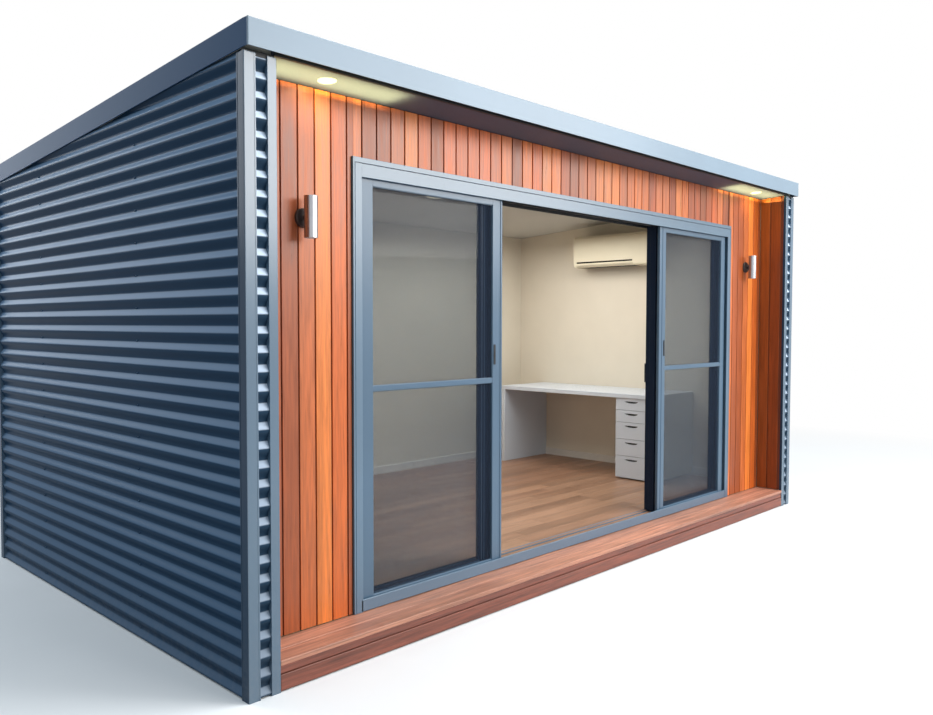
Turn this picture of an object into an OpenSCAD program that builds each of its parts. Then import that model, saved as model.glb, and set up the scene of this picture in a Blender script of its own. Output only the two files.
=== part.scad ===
// Garden office pod with a mono-pitch roof and a recessed timber front.
// Everything is measured from the front left ground corner and then centred.

/* [Overall] */
// Width across the outer faces of the two side walls
body_w = 5110; // [4700:10:6000]
// Depth from the front wall ends to the back corner trims
body_d = 2960; // [2700:10:3600]
// Height of the underside of the front fascia above the ground
eave_h = 2548; // [2500:1:2800]
// Fall of the roof for each metre of depth
roof_fall = 63; // [40:1:75]

/* [Roof] */
// Height of the folded fascia and barges
fascia_h = 108; // [100:1:180]
// Thickness of the folded fascia and barges
fascia_t = 24; // [18:1:30]
// Distance of the fascia in front of the wall ends
fascia_out = 36; // [30:1:80]
// Distance of the barges outside the corner trims
barge_out = 3; // [2:1:20]
// Thickness of the insulated roof panel without its ribs
roof_t = 50; // [40:1:52]
// Height of the roof panel's ribs
rib_h = 25; // [15:1:25]
// Width of a rib at its top
rib_top_w = 22; // [15:1:40]
// Width of a rib at its foot
rib_foot_w = 62; // [50:1:90]
// Number of ribs across the roof
ribs = 15; // [5:1:25]
// Overhang of the roof panel over the gutter
roof_overhang = 20; // [10:1:60]
// Depth of the soffit lining with its battens
soffit_t = 30; // [20:1:40]
// Width of the rear gutter
gutter_w = 110; // [90:1:150]
// Height of the rear gutter
gutter_h = 95; // [80:1:100]
// Thickness of the gutter's folded sides
gutter_t = 4; // [3:1:8]
// Distance of the gutter's top below the lower edge of the roof
gutter_drop = 2; // [1:1:10]
// Width of the square downpipe
downpipe_w = 75; // [60:1:90]
// Distance of the downpipe from the outer face of the left wall
downpipe_x = 120; // [60:5:600]
// Gap between the ground and the bottom of the downpipe
downpipe_ground_gap = 20; // [10:1:60]

/* [Walls] */
// Pitch of the corrugated cladding
clad_pitch = 76; // [60:1:100]
// Depth of the corrugations
clad_depth = 16; // [12:1:18]
// Flat thickness behind the corrugations
clad_back = 2; // [1:0.5:3]
// Thickness of the stud walls
core_t = 114; // [90:1:140]
// Thickness of the boards and inner linings
board_t = 12; // [10:1:14]
// Face width of the corner trims
trim_w = 52; // [40:1:60]
// Face width of the trims at the inner edges of the wall ends
reveal_trim_w = 43; // [35:1:50]
// Distance that the trims stand proud of the cladding crests
trim_proud = 3; // [2:1:5]
// Gap between the ground and the bottom of the cladding
clad_ground_gap = 8; // [5:1:15]

/* [Front] */
// Depth of the recess in front of the timber wall
recess_d = 217; // [180:1:300]
// Thickness of the vertical timber boards
timber_t = 20; // [15:1:22]
// Thickness of the front stud wall
front_core_t = 105; // [100:1:130]
// Height of the step boards above the ground
step_h = 130; // [120:1:150]
// Thickness of the step boards
step_t = 22; // [18:1:28]
// Gap between the ground and the step's riser
step_ground_gap = 4; // [2:1:15]
// Width of the blocks under the step
step_block_w = 70; // [45:1:90]
// Number of blocks under the step
step_blocks = 7; // [3:1:11]

/* [Floor] */
// Width of the rails under the side walls
rail_w = 90; // [70:1:100]
// Height of the base rails and joists
rail_h = 100; // [90:1:110]
// Width of a floor joist
joist_w = 45; // [38:1:60]
// Number of floor joists
joist_count = 6; // [4:1:9]
// Thickness of the floor deck
deck_t = 50; // [18:1:52]
// Thickness of the oak floor boards
floor_t = 15; // [8:1:20]
// Height of the beam under the door sill
threshold_h = 132; // [130:1:140]
// Height of the skirting boards
skirting_h = 66; // [50:1:100]

/* [Door frame] */
// Width across the outer flange of the door frame
door_w = 3738; // [3400:2:4100]
// Height of the door frame with its top flange
door_h = 2133; // [2050:1:2150]
// Width of the flange that laps the timber at each side
side_flange_w = 10; // [8:1:30]
// Height of the flange that laps the timber over the head
top_flange_h = 27; // [15:1:35]
// Distance from the timber face to the front of the flange
flange_out = 12; // [6:1:20]
// Face width of a jamb inside the flange
jamb_w = 34; // [30:1:50]
// Height of the head inside the flange
head_h = 62; // [50:1:80]
// Height of the closed part of the head above the guides
head_solid_h = 46; // [38:1:48]
// Height of the sill plate
sill_h = 18; // [12:1:25]
// Height of the sill's front lip
sill_lip_h = 58; // [40:1:62]
// Height of the track rails above the sill plate
track_h = 15; // [8:1:16]
// Thickness of a track rail or guide fin
track_t = 4; // [3:1:5]
// Thickness of the front and back lips
lip_t = 7; // [4:1:8]

/* [Door panels] */
// Thickness of an insect screen
screen_t = 20; // [16:1:24]
// Width of the left insect screen
left_screen_w = 1000; // [960:1:1000]
// Width of the right insect screen
right_screen_w = 960; // [940:1:975]
// Width of the leading stile of an insect screen
screen_lead_w = 80; // [60:1:90]
// Width of the left screen's outer stile
left_screen_stile_w = 75; // [40:1:80]
// Width of the right screen's outer stile
right_screen_stile_w = 60; // [40:1:70]
// Height of the top rail of an insect screen
screen_rail_h = 42; // [30:1:60]
// Height of the middle rail of an insect screen
screen_mid_h = 26; // [20:1:40]
// Height of the middle rail above the ground
screen_mid_z = 1186; // [1000:1:1400]
// Width of a fixed glass panel
fixed_panel_w = 924; // [900:1:990]
// Thickness of the fixed glass panels
fixed_t = 36; // [30:1:40]
// Width of a sliding glass leaf
leaf_panel_w = 950; // [930:1:990]
// Thickness of a sliding glass leaf
leaf_t = 32; // [28:1:36]
// Width of the stiles of the glass panels
stile_w = 55; // [45:1:70]
// Height of the top rails of the glass panels
glass_rail_h = 25; // [20:1:70]
// Height of the bottom rails above the rollers
rail_over_rollers = 5; // [3:1:40]
// Thickness of the double glazing
glass_t = 16; // [6:1:20]
// Thickness of the insect mesh
mesh_t = 2; // [1.5:0.5:3]
// Distance of the screens behind the front lip
screen_setback = 10; // [6:1:14]
// Distance that the left screen is open from the middle
left_screen_open = 812; // [780:1:815]
// Distance that the right screen is open from the middle
right_screen_open = 837; // [780:1:840]
// Distance that the left glass leaf is open from the middle
left_leaf_open = 842; // [780:1:845]
// Distance that the right glass leaf is open from the middle
right_leaf_open = 842; // [780:1:845]

/* [Handles and rollers] */
// Radius of a roller
roller_r = 11; // [9:0.5:14]
// Width of a roller
roller_w = 8; // [6:1:10]
// Distance of a roller from the end of its panel
roller_inset = 120; // [80:1:200]
// Height of a screen latch
latch_h = 110; // [80:1:150]
// Width of a screen latch
latch_w = 16; // [12:1:24]
// Distance that a screen latch stands out
latch_out = 5; // [3:1:5]
// Distance of a latch from the inner edge of its stile
latch_inset = 8; // [5:1:20]
// Height of the middle of the latches above the ground
latch_z = 1328; // [1100:1:1400]
// Length of a pull handle
pull_h = 135; // [100:5:200]
// Height of the middle of the pull handles above the ground
pull_z = 1150; // [1050:5:1250]
// Thickness of a pull handle's bar
pull_t = 12; // [8:1:14]
// Distance that a pull handle stands into the room
pull_out = 24; // [20:1:30]

/* [Lights] */
// Diameter of the wall light's tube
lamp_d = 60; // [50:1:80]
// Height of the wall light's tube
lamp_h = 182; // [150:1:250]
// Height of the middle of the wall lights above the ground
lamp_z = 1957; // [1800:1:2050]
// Distance of the wall lights from the outer faces of the side walls
lamp_x = 416; // [370:1:480]
// Distance from the timber face to the middle of the tube
lamp_out = 62; // [50:1:90]
// Diameter of the wall light's back plate
lamp_plate_d = 86; // [70:1:100]
// Thickness of the wall light's back plate
lamp_plate_t = 14; // [8:1:20]
// Diameter of the wall light's arm
lamp_arm_d = 24; // [16:1:30]
// Diameter of the soffit downlights
downlight_d = 84; // [75:1:110]
// Diameter of a downlight's body above its ring
downlight_body_d = 66; // [50:1:68]
// Distance of the soffit downlights from the outer faces of the side walls
downlight_x = 470; // [300:1:900]
// Distance that a downlight's ring stands below its ceiling
downlight_drop = 4; // [2:1:8]
// Diameter of the ceiling light inside
ceiling_light_d = 240; // [180:1:350]
// Height of the ceiling light inside
ceiling_light_h = 45; // [30:1:70]

/* [Fittings inside] */
// Length of the air conditioner along the wall
aircon_w = 820; // [750:1:950]
// Height of the air conditioner
aircon_h = 295; // [260:1:320]
// Depth of the air conditioner
aircon_d = 205; // [180:1:240]
// Gap between the air conditioner and the ceiling at its far end
aircon_gap = 111; // [60:1:180]
// Depth of the air conditioner's flat underside
aircon_flat_d = 150; // [100:1:170]
// Height of the air conditioner's rounded chin
aircon_chin_h = 36; // [20:1:60]
// Size of the bevel along the air conditioner's top edge
aircon_bevel = 20; // [5:1:40]
// Distance of the air conditioner's near end from the front wall ends
aircon_y = 1160; // [900:1:1700]
// Length of the desk along the side wall
desk_w = 1670; // [1500:1:1800]
// Depth of the desk
desk_d = 650; // [550:1:750]
// Height of the desk above the floor
desk_h = 735; // [700:1:780]
// Thickness of the desk's top and end panel
desk_t = 36; // [25:1:45]
// Distance of the desk's near end from the front wall ends
desk_y = 830; // [700:1:900]
// Width of the drawer unit
drawer_unit_w = 365; // [330:1:420]
// Height of the plinth under the drawer unit
drawer_plinth_h = 12; // [8:1:60]
// Distance of the drawer fronts behind the desk's front edge
drawer_setback = 10; // [0:1:40]
// Distance of the plinth behind the drawer fronts
plinth_setback = 50; // [20:1:100]
// Distance of the plinth inside the sides of the drawer unit
plinth_inset = 20; // [10:1:60]

/* [Clearances] */
// Clearance between pieces that slide past each other
slide_gap = 6; // [5:0.5:7]
// Running gap between a roller and its rail
roller_gap = 0.3; // [0.2:0.1:0.5]
// Half of the gap between two closed leading stiles
meeting_gap = 2.5; // [2.5:0.5:5]
// Gap between a downlight's body and its hole
downlight_gap = 2; // [1:0.5:4]
// Bedding gap where the roof panel and the barges lie on the sloping tops of the walls
bedding_gap = 0.3; // [0.2:0.1:0.5]

/* [Hidden] */
$fn = 48;
// Extra length of a solid that cuts another
cut = 1;
skin_t = trim_proud + clad_depth + clad_back;
core_in = skin_t + core_t;
wall_t = core_in + board_t;
plan_d = fascia_out + body_d + gutter_w;
front_y = -plan_d / 2 + fascia_out;
fall = roof_fall / 1000;
floor_z = rail_h + deck_t + floor_t;
timber_y = recess_d + timber_t;
front_in_y = timber_y + front_core_t;
inner_y0 = front_in_y + board_t;
inner_y1 = body_d - wall_t;
door_x0 = (body_w - door_w) / 2 + side_flange_w;
door_x1 = body_w - door_x0;
jamb_x0 = door_x0 + jamb_w;
jamb_x1 = body_w - jamb_x0;
sill_z = threshold_h;
head_top_z = threshold_h + door_h - top_flange_h;
head_z = head_top_z - head_h;
head_solid_z = head_top_z - head_solid_h;
frame_y0 = recess_d - flange_out;
frame_y1 = inner_y0;
track_z = sill_z + sill_h + track_h;
panel_z0 = track_z + slide_gap;
panel_z1 = head_solid_z - slide_gap;
low_rail_z = track_z + roller_gap + 2 * roller_r + rail_over_rollers;
screen_y = frame_y0 + lip_t + screen_setback;
fin_y = screen_y + screen_t + slide_gap;
fixed_y = fin_y + track_t + slide_gap;
leaf_y = fixed_y + fixed_t + slide_gap;
middle_x = body_w / 2;
desk_x = body_w - wall_t - desk_d;
desk_z = floor_z + desk_h;
aircon_far_y = aircon_y + aircon_w;

// Underside of the fascia, barges and soffit at a distance from the front
function eave_z(y) = eave_h - fall * y;
// Underside of the roof panel
function roof_z(y) = eave_z(y) + soffit_t;
// Underside of the ceiling lining
function ceiling_z(y) = roof_z(y) - board_t;
gutter_z = roof_z(body_d + gutter_w) - gutter_drop - gutter_h;

module placed() {
    translate([-body_w / 2, front_y, 0]) children();
}

module block(x0, x1, y0, y1, z0, z1) {
    translate([x0, y0, z0]) cube([x1 - x0, y1 - y0, z1 - z0]);
}

// A solid with an outline drawn in the depth and height plane
module side_outline(x0, x1, points) {
    translate([x0, 0, 0]) rotate([90, 0, 90]) linear_extrude(x1 - x0) polygon(points);
}

// A block whose top follows the underside of the roof panel
module roofed_block(x0, x1, y0, y1, z0) {
    side_outline(x0, x1, [[y0, z0], [y1, z0], [y1, roof_z(y1)], [y0, roof_z(y0)]]);
}

// A band that follows the slope of the roof, above the eave line
module roof_band(x0, x1, y0, y1, low, high) {
    side_outline(x0, x1, [
        [y0, eave_z(y0) + low], [y1, eave_z(y1) + low],
        [y1, eave_z(y1) + high], [y0, eave_z(y0) + high]
    ]);
}

module right_side() {
    translate([body_w, 0, 0]) mirror([1, 0, 0]) children();
}

module both_sides() {
    children();
    right_side() children();
}

// Board with its lower end level and its upper end on the eave line
module eave_block(x0, x1, y0, y1, z0) {
    side_outline(x0, x1, [[y0, z0], [y1, z0], [y1, eave_z(y1)], [y0, eave_z(y0)]]);
}

// Outline of corrugated sheet: depth along x, height along y
function corrugated(top) = let (
        steps = 8,
        count = floor((top - clad_ground_gap) / (clad_pitch / steps))
    ) concat(
        [[clad_depth + clad_back, clad_ground_gap]],
        [for (i = [0:count])
            let (z = clad_ground_gap + i * clad_pitch / steps)
            [clad_depth / 2 * (1 - cos(360 * (z - clad_ground_gap) / clad_pitch)), z]
        ],
        [[clad_depth + clad_back, clad_ground_gap + count * clad_pitch / steps]]
    );

// Corrugated sheet that runs along the depth, with its outer crests at x0
module corrugated_side(x0, y0, y1, top) {
    translate([x0, y1, 0]) rotate([90, 0, 0]) linear_extrude(y1 - y0) polygon(corrugated(top));
}

// Corrugated sheet that runs along the width, with its outer crests at y0
module corrugated_front(x0, x1, y0, top) {
    translate([x0, y0, 0]) rotate([90, 0, 90]) linear_extrude(x1 - x0) polygon(corrugated(top));
}

// Side sheet trimmed to the slope of the roof
module sloped_side_sheet() {
    intersection() {
        corrugated_side(trim_proud, trim_w, body_d - trim_w, roof_z(0));
        roofed_block(0, skin_t, trim_w, body_d - trim_w, 0);
    }
}

// Base and floor
module side_rails() {
    color("#3b4046") placed() both_sides()
        block(skin_t, skin_t + rail_w, skin_t, body_d - skin_t, 0, rail_h);
}

module floor_joists() {
    first = inner_y0;
    last = body_d - skin_t - joist_w;
    pitch = (last - first) / (joist_count - 1);
    color("#7d7468") placed() for (y = [for (i = [0:joist_count - 1]) first + i * pitch])
        block(skin_t + rail_w, body_w - skin_t - rail_w, y, y + joist_w, 0, rail_h);
}

module threshold_beam() {
    color("#7d7468") placed() {
        block(skin_t + rail_w, body_w - skin_t - rail_w, recess_d, inner_y0, 0, rail_h);
        block(core_in, body_w - core_in, timber_y, inner_y0, rail_h, threshold_h);
        block(door_x0, door_x1, recess_d, timber_y, rail_h, threshold_h);
    }
}

module floor_deck() {
    color("#b59a72") placed()
        block(core_in, body_w - core_in, frame_y1, body_d - core_in, rail_h, rail_h + deck_t);
}

module floor_boards() {
    color("#b98a5c") placed()
        block(core_in, body_w - core_in, frame_y1, body_d - core_in, rail_h + deck_t, floor_z);
}

// Walls
module left_wall() {
    color("#d9d3c4") placed() roofed_block(skin_t, core_in, skin_t, body_d - skin_t, rail_h);
}

module right_wall() {
    color("#d9d3c4") placed() right_side()
        roofed_block(skin_t, core_in, skin_t, body_d - skin_t, rail_h);
}

module back_wall() {
    color("#d9d3c4") placed()
        roofed_block(core_in, body_w - core_in, body_d - core_in, body_d - skin_t, rail_h);
}

module front_wall_pier() {
    roofed_block(core_in, door_x0, timber_y, front_in_y, threshold_h);
}

module front_wall_left() {
    color("#d9d3c4") placed() front_wall_pier();
}

module front_wall_right() {
    color("#d9d3c4") placed() right_side() front_wall_pier();
}

module front_wall_header() {
    color("#d9d3c4") placed() roofed_block(door_x0, door_x1, timber_y, front_in_y, head_top_z);
}

// Outer skin
module left_cladding() {
    color("#46586c") placed() sloped_side_sheet();
}

module right_cladding() {
    color("#46586c") placed() right_side() sloped_side_sheet();
}

module back_cladding() {
    color("#46586c") placed() intersection() {
        translate([0, body_d, 0]) mirror([0, 1, 0])
            corrugated_front(trim_w, body_w - trim_w, trim_proud, roof_z(0));
        roofed_block(trim_w, body_w - trim_w, body_d - skin_t, body_d, 0);
    }
}

module wall_end_strips() {
    color("#5d7187") placed() both_sides() intersection() {
        corrugated_front(trim_w, wall_t - reveal_trim_w, trim_proud, roof_z(0));
        block(trim_w, wall_t - reveal_trim_w, 0, skin_t, 0, eave_z(skin_t));
    }
}

// Square folded trims
module front_corner_trims() {
    color("#7d8fa1") placed() both_sides() difference() {
        eave_block(0, trim_w, 0, trim_w, 0);
        block(skin_t, trim_w + cut, skin_t, trim_w + cut, -cut, roof_z(0));
    }
}

module back_corner_trims() {
    color("#7d8fa1") placed() both_sides() difference() {
        eave_block(0, trim_w, body_d - trim_w, body_d, 0);
        block(skin_t, trim_w + cut, body_d - trim_w - cut, body_d - skin_t, -cut, roof_z(0));
    }
}

module reveal_trims() {
    color("#7d8fa1") placed() both_sides()
        eave_block(wall_t - reveal_trim_w, wall_t, 0, skin_t, 0);
}

// Timber front
module timber_pier() {
    eave_block(wall_t, door_x0, recess_d, timber_y, step_h);
}

module timber_left() {
    color("#c0713f") placed() timber_pier();
}

module timber_right() {
    color("#c0713f") placed() right_side() timber_pier();
}

module timber_header() {
    color("#c0713f") placed() eave_block(door_x0, door_x1, recess_d, timber_y, head_top_z);
}

module reveal_boards() {
    color("#b4673a") placed() both_sides() eave_block(core_in, wall_t, skin_t, timber_y, step_h);
}

module soffit() {
    color("#d8d2c4") placed() difference() {
        roof_band(core_in, body_w - core_in, 0, timber_y, 0, soffit_t);
        both_sides() downlight_hole();
    }
}

module downlight_hole() {
    translate([downlight_x, recess_d / 2, 0])
        cylinder(d = downlight_body_d + 2 * downlight_gap, h = 2 * eave_h);
}

module soffit_downlights() {
    light_y = recess_d / 2;
    color("#f4e3b0") placed() both_sides() translate([downlight_x, light_y, eave_z(light_y)])
        rotate([-atan(fall), 0, 0]) {
            translate([0, 0, -downlight_drop]) cylinder(d = downlight_d, h = downlight_drop);
            cylinder(d = downlight_body_d, h = soffit_t - downlight_drop);
        }
}

// Roof
// Cross section of the roof panel, with its ribs spread evenly across it
function ribbed(w) = let (
        pitch = w / ribs
    ) concat(
        [[0, 0], [0, roof_t]],
        [for (i = [0:ribs - 1])
            let (x = (i + 0.5) * pitch)
            each [
                [x - rib_foot_w / 2, roof_t], [x - rib_top_w / 2, roof_t + rib_h],
                [x + rib_top_w / 2, roof_t + rib_h], [x + rib_foot_w / 2, roof_t]
            ]
        ],
        [[w, roof_t], [w, 0]]
    );

module roof_panel() {
    y0 = fascia_t - fascia_out;
    length = (body_d + roof_overhang - y0) / cos(atan(fall));
    color("#8f9ba8") placed() translate([fascia_t, y0, roof_z(y0) + bedding_gap])
        rotate([-atan(fall), 0, 0]) translate([0, length, 0]) rotate([90, 0, 0])
            linear_extrude(length) polygon(ribbed(body_w - 2 * fascia_t));
}

module front_fascia() {
    color("#9fb0c2") placed() block(
        -barge_out, body_w + barge_out, -fascia_out, fascia_t - fascia_out, eave_h, eave_h + fascia_h
    );
}

// Each barge is a plate outside the wall with a deeper part beside the roof panel
module barges() {
    y0 = fascia_t - fascia_out;
    y1 = body_d + gutter_w;
    low = bedding_gap;
    top = [[y1, eave_z(y1) + fascia_h], [0, eave_h + fascia_h], [y0, eave_h + fascia_h]];
    color("#54677c") placed() both_sides() {
        side_outline(-barge_out, 0, concat([[y0, eave_h], [0, eave_h], [y1, eave_z(y1)]], top));
        side_outline(0, fascia_t, concat([[y0, roof_z(y0) + low], [y1, roof_z(y1) + low]], top));
    }
}

module rear_gutter() {
    y1 = body_d + gutter_w;
    low = gutter_z + gutter_t;
    color("#54677c") placed() difference() {
        block(0, body_w, body_d, y1, gutter_z, gutter_z + gutter_h);
        block(gutter_t, body_w - gutter_t, body_d + gutter_t, y1 - gutter_t, low, low + gutter_h);
    }
}

module downpipe() {
    color("#54677c") placed() block(
        downpipe_x, downpipe_x + downpipe_w, body_d, body_d + downpipe_w, downpipe_ground_gap, gutter_z
    );
}

// Step
module step_tread() {
    color("#b06a45") placed()
        block(wall_t, body_w - wall_t, 0, recess_d, step_h - step_t, step_h);
}

module step_riser() {
    color("#a8603f") placed()
        block(wall_t, body_w - wall_t, 0, step_t, step_ground_gap, step_h - step_t);
}

module step_blocks_row() {
    pitch = (body_w - 2 * wall_t - step_block_w) / (step_blocks - 1);
    color("#7d7468") placed() for (x = [for (i = [0:step_blocks - 1]) wall_t + i * pitch])
        block(x, x + step_block_w, step_t, recess_d, 0, step_h - step_t);
}

// Door frame
module door_sill() {
    color("#8fa3b5") placed()
        block(jamb_x0, jamb_x1, frame_y0, frame_y1, sill_z, sill_z + sill_h);
}

module sill_tracks() {
    low = sill_z + sill_h;
    color("#8fa3b5") placed() {
        block(jamb_x0, jamb_x1, frame_y0, frame_y0 + lip_t, low, sill_z + sill_lip_h);
        for (y = [screen_y + (screen_t - track_t) / 2, leaf_y + (leaf_t - track_t) / 2])
            block(jamb_x0, jamb_x1, y, y + track_t, low, track_z);
        block(jamb_x0, jamb_x1, frame_y1 - lip_t, frame_y1, low, floor_z);
    }
}

module door_head() {
    color("#8fa3b5") placed()
        block(jamb_x0, jamb_x1, frame_y0, frame_y1, head_solid_z, head_top_z);
}

module head_guides() {
    color("#8fa3b5") placed() {
        block(jamb_x0, jamb_x1, frame_y0, frame_y0 + lip_t, head_z, head_solid_z);
        block(jamb_x0, jamb_x1, fin_y, fin_y + track_t, head_z, head_solid_z);
        block(jamb_x0, jamb_x1, frame_y1 - lip_t, frame_y1, head_z, head_solid_z);
    }
}

// The jambs carry the side and top flanges that lap the timber
module door_jambs() {
    flange_x0 = door_x0 - side_flange_w;
    flange_z1 = head_top_z + top_flange_h;
    color("#8fa3b5") placed() {
        both_sides() {
            block(door_x0, jamb_x0, frame_y0, frame_y1, sill_z, head_top_z);
            block(flange_x0, door_x0, frame_y0, recess_d, sill_z, head_top_z);
        }
        block(flange_x0, body_w - flange_x0, frame_y0, recess_d, head_top_z, flange_z1);
    }
}

// Ring of a panel frame, with stiles and rails
module panel_ring(x0, w, y, t, left_w, right_w, top_rail, z0, z1) {
    difference() {
        block(x0, x0 + w, y, y + t, z0, z1);
        block(x0 + left_w, x0 + w - right_w, y - cut, y + t + cut, low_rail_z, z1 - top_rail);
    }
}

module fixed_frames() {
    color("#8fa3b5") placed() both_sides() panel_ring(
        jamb_x0, fixed_panel_w, fixed_y, fixed_t, stile_w, stile_w, glass_rail_h,
        sill_z + sill_h, head_solid_z
    );
}

module fixed_glass() {
    y0 = fixed_y + (fixed_t - glass_t) / 2;
    color("#5d7480", 0.5) placed() both_sides()
        block(jamb_x0 + stile_w, jamb_x0 + fixed_panel_w - stile_w, y0, y0 + glass_t,
            low_rail_z, head_solid_z - glass_rail_h);
}

// Rollers seated on the track rail below a panel
module rollers(x0, w, y, t) {
    for (x = [x0 + roller_inset, x0 + w - roller_inset])
        translate([x, y + (t + roller_w) / 2, track_z + roller_gap + roller_r])
            rotate([90, 0, 0]) cylinder(r = roller_r, h = roller_w);
}

// Left edge of the left panel of a pair that stands open
function panel_x(open, w) = middle_x - meeting_gap - open - w;

// Sliding glass leaf with a pull handle on the room side, drawn for the left side
module leaf_frame(open) {
    x0 = panel_x(open, leaf_panel_w);
    panel_ring(x0, leaf_panel_w, leaf_y, leaf_t, stile_w, stile_w, glass_rail_h, panel_z0, panel_z1);
    rollers(x0, leaf_panel_w, leaf_y, leaf_t);
    translate([x0 + leaf_panel_w - (stile_w + pull_t) / 2, leaf_y + leaf_t, pull_z - pull_h / 2])
        pull_handle();
}

module pull_handle() {
    block(0, pull_t, pull_out - pull_t, pull_out, 0, pull_h);
    for (z = [0, pull_h - pull_t]) block(0, pull_t, -cut, pull_out, z, z + pull_t);
}

module leaf_glass(open) {
    x0 = panel_x(open, leaf_panel_w);
    y0 = leaf_y + (leaf_t - glass_t) / 2;
    block(x0 + stile_w, x0 + leaf_panel_w - stile_w, y0, y0 + glass_t,
        low_rail_z, panel_z1 - glass_rail_h);
}

module left_leaf_frame() {
    color("#7f92a5") placed() leaf_frame(left_leaf_open);
}

module left_leaf_glass() {
    color("#5d7480", 0.5) placed() leaf_glass(left_leaf_open);
}

module right_leaf_frame() {
    color("#7f92a5") placed() right_side() leaf_frame(right_leaf_open);
}

module right_leaf_glass() {
    color("#5d7480", 0.5) placed() right_side() leaf_glass(right_leaf_open);
}

// Sliding insect screen, drawn for the left side
module screen_frame(open, w, outer_w) {
    x0 = panel_x(open, w);
    lead_x = x0 + w - screen_lead_w;
    panel_ring(x0, w, screen_y, screen_t, outer_w, screen_lead_w, screen_rail_h, panel_z0, panel_z1);
    block(x0 + outer_w - cut, lead_x + cut, screen_y, screen_y + screen_t,
        screen_mid_z - screen_mid_h / 2, screen_mid_z + screen_mid_h / 2);
    rollers(x0, w, screen_y, screen_t);
    translate([lead_x + latch_inset, screen_y, latch_z - latch_h / 2])
        block(0, latch_w, -latch_out, cut, 0, latch_h);
}

module screen_mesh(open, w, outer_w) {
    x0 = panel_x(open, w) + outer_w;
    x1 = x0 + w - outer_w - screen_lead_w;
    y0 = screen_y + (screen_t - mesh_t) / 2;
    block(x0, x1, y0, y0 + mesh_t, low_rail_z, screen_mid_z - screen_mid_h / 2);
    block(x0, x1, y0, y0 + mesh_t, screen_mid_z + screen_mid_h / 2, panel_z1 - screen_rail_h);
}

module left_screen_frame() {
    color("#8fa3b5") placed() screen_frame(left_screen_open, left_screen_w, left_screen_stile_w);
}

module left_screen_mesh() {
    color("#4a5560", 0.6) placed()
        screen_mesh(left_screen_open, left_screen_w, left_screen_stile_w);
}

module right_screen_frame() {
    color("#8fa3b5") placed() right_side()
        screen_frame(right_screen_open, right_screen_w, right_screen_stile_w);
}

module right_screen_mesh() {
    color("#4a5560", 0.6) placed() right_side()
        screen_mesh(right_screen_open, right_screen_w, right_screen_stile_w);
}

// Inside linings
module lining_block(x0, x1, y0, y1, z0) {
    side_outline(x0, x1, [[y0, z0], [y1, z0], [y1, ceiling_z(y1)], [y0, ceiling_z(y0)]]);
}

module inner_linings() {
    color("#efe8d8") placed() difference() {
        lining_block(core_in, body_w - core_in, front_in_y, body_d - core_in, floor_z);
        block(wall_t, body_w - wall_t, frame_y1, inner_y1, 0, 2 * eave_h);
        block(door_x0, door_x1, front_in_y - cut, frame_y1 + cut, 0, head_top_z);
    }
}

module ceiling_lining() {
    color("#f4efe4") placed() roof_band(
        core_in, body_w - core_in, front_in_y, body_d - core_in, soffit_t - board_t, soffit_t
    );
}

module skirting() {
    color("#f7f4ec") placed() difference() {
        block(wall_t, body_w - wall_t, inner_y0, inner_y1, floor_z, floor_z + skirting_h);
        block(wall_t + board_t, body_w - wall_t - board_t, inner_y0 - cut, inner_y1 - board_t, 0, eave_h);
        for (y = [[desk_y, desk_y + drawer_unit_w], [desk_y + desk_w - desk_t, desk_y + desk_w]])
            block(body_w - wall_t - board_t - cut, body_w, y[0], y[1], 0, eave_h);
    }
}

// Lights
module wall_lights() {
    color("#c9ccce") placed() both_sides() translate([lamp_x, recess_d, lamp_z]) {
        rotate([90, 0, 0]) cylinder(d = lamp_plate_d, h = lamp_plate_t);
        rotate([90, 0, 0]) cylinder(d = lamp_arm_d, h = lamp_out);
        translate([0, -lamp_out, -lamp_h / 2]) cylinder(d = lamp_d, h = lamp_h);
    }
}

module ceiling_light() {
    light_y = (inner_y0 + inner_y1) / 2;
    color("#fbf7ea") placed() translate([middle_x, light_y, ceiling_z(light_y)])
        rotate([-atan(fall), 0, 0]) translate([0, 0, -ceiling_light_h])
            cylinder(d = ceiling_light_d, h = ceiling_light_h);
}

// Fittings inside
// The wall unit of the air conditioner, with a rounded chin, drawn from its back edge
module air_conditioner() {
    color("#f3efe6") placed()
        translate([body_w - wall_t, aircon_far_y, ceiling_z(aircon_far_y) - aircon_gap - aircon_h])
            rotate([90, 0, 0]) linear_extrude(aircon_w) polygon(concat(
                [[0, aircon_h], [0, 0]],
                [for (a = [0:15:90]) [
                    -aircon_flat_d - (aircon_d - aircon_flat_d) * sin(a), aircon_chin_h * (1 - cos(a))
                ]],
                [[-aircon_d, aircon_h - aircon_bevel], [-aircon_d + aircon_bevel, aircon_h]]
            ));
}

module desk_top() {
    color("#f5f3ee") placed()
        block(desk_x, desk_x + desk_d, desk_y, desk_y + desk_w, desk_z - desk_t, desk_z);
}

module desk_end_panel() {
    y1 = desk_y + desk_w;
    color("#f5f3ee") placed() block(desk_x, desk_x + desk_d, y1 - desk_t, y1, floor_z, desk_z - desk_t);
}

module drawer_unit() {
    front_x = desk_x + drawer_setback;
    back_x = desk_x + desk_d;
    y1 = desk_y + drawer_unit_w;
    low = floor_z + drawer_plinth_h;
    color("#f7f6f2") placed() {
        block(front_x, back_x, desk_y, y1, low, desk_z - desk_t);
        block(front_x + plinth_setback, back_x, desk_y + plinth_inset, y1 - plinth_inset, floor_z, low);
    }
}

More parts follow.
